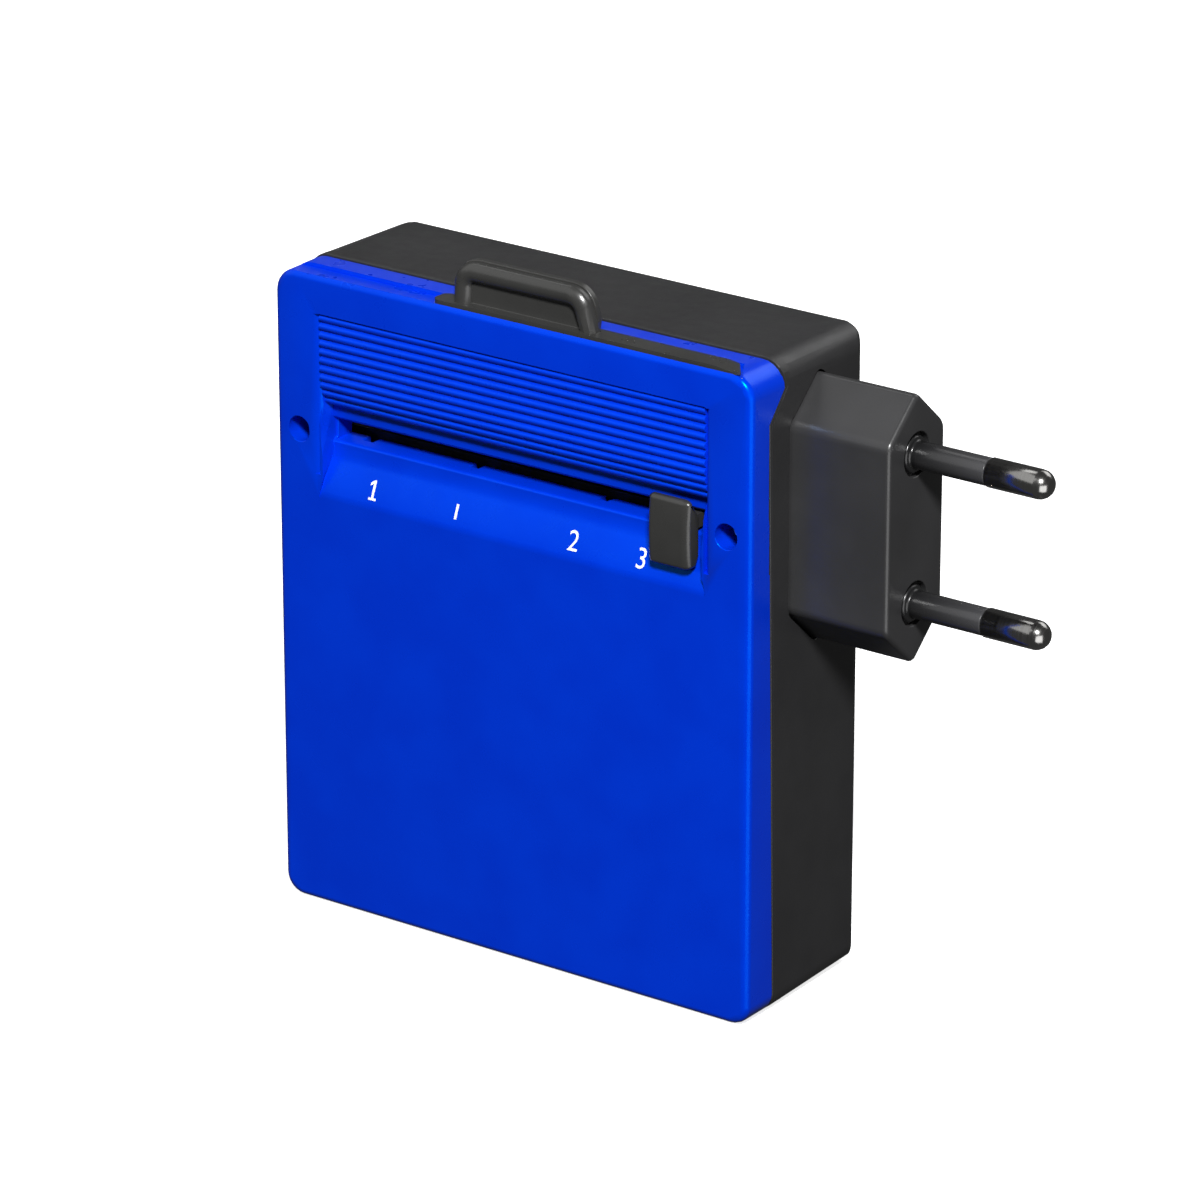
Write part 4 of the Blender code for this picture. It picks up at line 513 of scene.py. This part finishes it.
def soft_knob(name, material):
    """The grid's rows, joined into bands of four-cornered faces and closed at both ends."""
    points = knob_points()
    index = np.arange(points.shape[0] * points.shape[1]).reshape(points.shape[:2])
    here, there = index[:-1], index[1:]
    bands = np.stack([here, np.roll(here, -1, 1), np.roll(there, -1, 1), there], axis=2).reshape(-1, 4)
    mesh = bpy.data.meshes.new(name)
    mesh.from_pydata(points.reshape(-1, 3).tolist(), [], [*bands.tolist(), index[0].tolist(), index[-1].tolist()])
    form = bmesh.new()
    form.from_mesh(mesh)
    bmesh.ops.remove_doubles(form, verts=form.verts, dist=KNOB_WELD)
    bmesh.ops.recalc_face_normals(form, faces=form.faces)
    form.to_mesh(mesh)
    form.free()
    mesh.shade_smooth()
    mesh.materials.append(material)
    piece = into_scene(name, mesh)
    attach(piece, "selector_carriage")
    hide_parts("selector_knob")
    return piece


knob = soft_knob("slider_knob", grip_abs)
print("knob:", len(knob.data.polygons), "faces")

# %% [markdown]
# ## Inner solids
# The carriages, contacts, clips, screws, spring and fuse lie inside the housing or sunk in its holes. Their
# exact solids stay as they are, and each takes the finish that the real part has.

# %% Give the inner solids their finishes
inner_finishes = {
    plug_abs: ["carriage"],
    natural_nylon: ["blade_retainer", "uk_carriage"],
    brass_strip: ["socket_contact_live", "socket_contact_neutral", "fuse_clip_left", "fuse_clip_right",
                  "bus_bar_live", "bus_bar_neutral", "plug_contact_live", "plug_contact_neutral"],
    zinc: ["cover_screw_left", "cover_screw_right", "block_screw_upper", "block_screw_lower"],
    spring_steel: ["detent_spring"],
    fuse_glass: ["fuse"],
}
for material, names in inner_finishes.items():
    for name in names:
        nodes[name].data.materials.clear()
        nodes[name].data.materials.append(material)
print("inner solids:", sum(len(names) for names in inner_finishes.values()))

# %% [markdown]
# ## Marks at the stations
# Each station of the knob has a white mark on the slope below the slot. The marks here are plain numerals and
# one tick. A font gives flat outlines, which are cut into thin bands and then laid on the curved slope.

# %% Work out the slope
SLOPE_TOP = 59.4 * MM
SLOPE_BOTTOM = 54.0 * MM
SLOPE_DEPTH = 2.2 * MM
SLOPE_CURVE = 1.15


def slope_depth(z):
    """The slope's depth is its full depth times the share already climbed, to the power SLOPE_CURVE."""
    share = np.clip((SLOPE_TOP - z) / (SLOPE_TOP - SLOPE_BOTTOM), 0, 1)
    return SLOPE_DEPTH * (1 - share) ** SLOPE_CURVE


print("half way up, the slope is", round(slope_depth((SLOPE_TOP + SLOPE_BOTTOM) / 2) / MM, 2), "mm deep")

# %% Lay a flat mark on the slope
INK_LIFT = 0.05 * MM
BAND_HEIGHT = 0.3 * MM
BANDS_EACH_WAY = 12


def lay_on_slope(name, mesh, x, z):
    """Cuts a flat mark, drawn in XY, into bands, moves it to its place and bends it onto the slope."""
    form = bmesh.new()
    form.from_mesh(mesh)
    bmesh.ops.triangulate(form, faces=form.faces[:])
    for step in range(-BANDS_EACH_WAY, BANDS_EACH_WAY + 1):
        everything = form.verts[:] + form.edges[:] + form.faces[:]
        bmesh.ops.bisect_plane(form, geom=everything, plane_co=(0, step * BAND_HEIGHT, 0), plane_no=(0, 1, 0))
    form.to_mesh(mesh)
    form.free()
    flat = np.empty(len(mesh.vertices) * 3)
    mesh.vertices.foreach_get("co", flat)
    flat = flat.reshape(-1, 3)
    laid = np.empty_like(flat)
    laid[:, 0] = x + flat[:, 0]
    laid[:, 2] = z + flat[:, 1]
    laid[:, 1] = FRONT + slope_depth(laid[:, 2]) - INK_LIFT
    mesh.vertices.foreach_set("co", laid.ravel())
    mesh.materials.clear()
    mesh.materials.append(ink)
    mark = into_scene(name, mesh)
    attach(mark, "housing")
    return mark


print("marks are cut into bands", round(BAND_HEIGHT / MM, 1), "mm high")

# %% Draw the marks
FONT_FIGURE_SHARE = 0.69
FONT_CURVE_STEPS = 6


def outlined_mark(name, outline, x, z):
    """One flat face with these corners, laid on the slope."""
    mesh = bpy.data.meshes.new(name)
    mesh.from_pydata([(u, v, 0) for u, v in outline], [], [tuple(range(len(outline)))])
    return lay_on_slope(name, mesh, x, z)


def numeral_one(name, x, z, height):
    """A 1 with a flag and a foot, as one outline in parts of its height."""
    outline = [(-0.25, -0.5), (0.25, -0.5), (0.25, -0.38), (0.075, -0.38), (0.075, 0.5), (-0.04, 0.5),
               (-0.27, 0.34), (-0.27, 0.19), (-0.075, 0.31), (-0.075, -0.38), (-0.25, -0.38)]
    return outlined_mark(name, [(u * height, v * height) for u, v in outline], x, z)


def numeral(name, digit, x, z, height):
    """A digit as a flat mesh, its outline taken from Blender's own font, whose figures fill a part of its size."""
    text = bpy.data.curves.new(name, "FONT")
    text.body = digit
    text.size = height / FONT_FIGURE_SHARE
    text.align_x = "CENTER"
    text.align_y = "CENTER"
    text.resolution_u = FONT_CURVE_STEPS
    guide = into_scene(name, text)
    bpy.context.view_layer.update()
    mesh = bpy.data.meshes.new_from_object(guide.evaluated_get(bpy.context.evaluated_depsgraph_get()))
    bpy.data.objects.remove(guide)
    mesh.name = name
    return lay_on_slope(name, mesh, x, z)


def tick(name, x, z, width, height):
    """A plain upright bar."""
    right, top = width / 2, height / 2
    return outlined_mark(name, [(-right, -top), (right, -top), (right, top), (-right, top)], x, z)


print("figures fill", FONT_FIGURE_SHARE, "of the font's size")

# %% Print the marks
MARK_Z = 56.4 * MM
NUMERAL_HEIGHT = 2.3 * MM
TICK_WIDTH = 0.35 * MM
TICK_HEIGHT = 1.7 * MM
ONE_X, TICK_X, TWO_X, THREE_X = -20.8 * MM, -8.3 * MM, 9.0 * MM, 18.9 * MM
marks = [numeral_one("mark_one", ONE_X, MARK_Z, NUMERAL_HEIGHT),
         tick("mark_tick", TICK_X, MARK_Z, TICK_WIDTH, TICK_HEIGHT),
         numeral("mark_two", "2", TWO_X, MARK_Z, NUMERAL_HEIGHT),
         numeral("mark_three", "3", THREE_X, MARK_Z, NUMERAL_HEIGHT)]
print("marks:", [mark.name for mark in marks])

# %% [markdown]
# ## Floor
# The object stands on pale paper. The floor glows a little for the camera, and for what mirrors and glass
# show, so that it looks white where nothing shades it, and the soft shadow under the object stays. It doesn't
# light the object, so the glow changes nothing there.

# %% Lay the floor
FLOOR_HALF = 1.5
FLOOR_GLOW = 0.8
corners = [(-FLOOR_HALF, -FLOOR_HALF, 0), (FLOOR_HALF, -FLOOR_HALF, 0), (FLOOR_HALF, FLOOR_HALF, 0),
           (-FLOOR_HALF, FLOOR_HALF, 0)]
floor_mesh = bpy.data.meshes.new("floor")
floor_mesh.from_pydata(corners, [], [(0, 1, 2, 3)])
paper, tree, shader = new_material("white_paper")
rays = add(tree, "LightPath").node.outputs
seen = add(tree, "Math", {"operation": "MAXIMUM"}, n0=rays["Is Camera Ray"], n1=rays["Is Glossy Ray"])
seen = add(tree, "Math", {"operation": "MAXIMUM"}, n0=seen, n1=rays["Is Transmission Ray"])
feed(shader, Base_Color=linear("#E2E2E2"), Roughness=0.9, Specular_IOR_Level=0.0, Emission_Color=(1, 1, 1, 1),
     Emission_Strength=add(tree, "Math", {"operation": "MULTIPLY"}, n0=seen, n1=FLOOR_GLOW))
floor_mesh.materials.append(paper)
floor = into_scene("floor", floor_mesh)
floor.visible_diffuse = False
floor.visible_glossy = False
print("floor:", 2 * FLOOR_HALF, "m square")

# %% [markdown]
# ## Light
# One square softbox high on the right is the main light, and a second behind softens the back. A glossy
# object also needs something to reflect, so bright cards stand round it that only reflections see.

# %% Find places round the adapter
AIM = Vector((0.0, 0.0, 0.045))


def towards(azimuth, elevation, distance):
    """A place seen from the adapter's middle. Azimuth 0 is straight in front, and 90 is to the right."""
    turn, rise = math.radians(azimuth), math.radians(elevation)
    offset = Vector((math.sin(turn) * math.cos(rise), -math.cos(turn) * math.cos(rise), math.sin(rise)))
    return AIM + offset * distance


def softbox(name, place, width, height, watts):
    """A rectangular lamp that faces the adapter's middle. All its lengths are in metres."""
    lamp = bpy.data.lights.new(name, "AREA")
    lamp.shape = "RECTANGLE"
    lamp.size, lamp.size_y = width, height
    lamp.energy = watts
    holder = into_scene(name, lamp)
    holder.location = place
    holder.rotation_euler = (AIM - Vector(place)).to_track_quat("-Z", "Y").to_euler()
    return holder


def card(name, place, width, height, watts):
    """A bright card that only reflections see, as a studio props up beside a glossy object."""
    holder = softbox(name, place, width, height, watts)
    holder.visible_diffuse = False
    holder.visible_camera = False


print("a place 1 m in front of the middle:", [round(v, 3) for v in towards(0, 0, 1.0)])

# %% Set the lamps
softbox("key_softbox", towards(38, 42, 1.1), 0.16, 0.16, 20.0)
rear_fill = softbox("rear_softbox", towards(-140, 18, 1.1), 0.4, 0.4, 10.0)
rear_fill.visible_glossy = False
card("upper_left_card", towards(-50, 38, 0.9), 1.2, 0.8, 2.4)
card("back_left_card", towards(-114, 54, 0.8), 0.25, 0.25, 0.36)
card("back_right_card", towards(166, 38, 0.8), 0.5, 0.4, 1.2)
card("low_right_card", (0.22, FRONT - 0.12, 0.002), 0.2, 0.2, 0.3)

# %% Set the world
# The world is white to the camera and through glass, and faint in reflections. It lights the object faintly.
GLOSSY_STUDIO = 0.04
WORLD_LIGHT = 0.05
world = bpy.data.worlds.new("studio")
bpy.context.scene.world = world
world.use_nodes = True
tree = world.node_tree
rays = add(tree, "LightPath").node.outputs
seen = add(tree, "Math", {"operation": "MAXIMUM"}, n0=rays["Is Camera Ray"], n1=rays["Is Transmission Ray"])
seen = add(tree, "Math", {"operation": "MULTIPLY_ADD"}, n0=rays["Is Glossy Ray"], n1=GLOSSY_STUDIO, n2=seen)
feed(tree.nodes["Background"], Color=(1, 1, 1, 1),
     Strength=add(tree, "MapRange", Value=seen, To_Min=WORLD_LIGHT, To_Max=1.0))
print("world lights the object at", WORLD_LIGHT)

# %% [markdown]
# ## Camera
# A long lens from 0.8 m keeps the block's edges nearly parallel. It stands about 36 degrees round to the right
# of straight in front, and looks down by about 22 degrees. Both angles are in degrees here.

# %% Place the camera
CAMERA_PLACE = (0.43738, FRONT - 0.59037, 0.33718)
CAMERA_DOWN = 21.54
CAMERA_TURN = 35.68
LENS_MM = 198.0
camera_data = bpy.data.cameras.new("camera")
camera_data.lens = LENS_MM
camera_data.sensor_width = 36.0
camera_data.clip_end = 10.0
camera = into_scene("camera", camera_data)
camera.location = CAMERA_PLACE
camera.rotation_euler = (math.radians(90 - CAMERA_DOWN), 0, math.radians(CAMERA_TURN))
bpy.context.scene.camera = camera
bpy.context.scene.view_settings.view_transform = "Standard"
print("camera is", round((camera.location - AIM).length, 2), "m from the adapter")
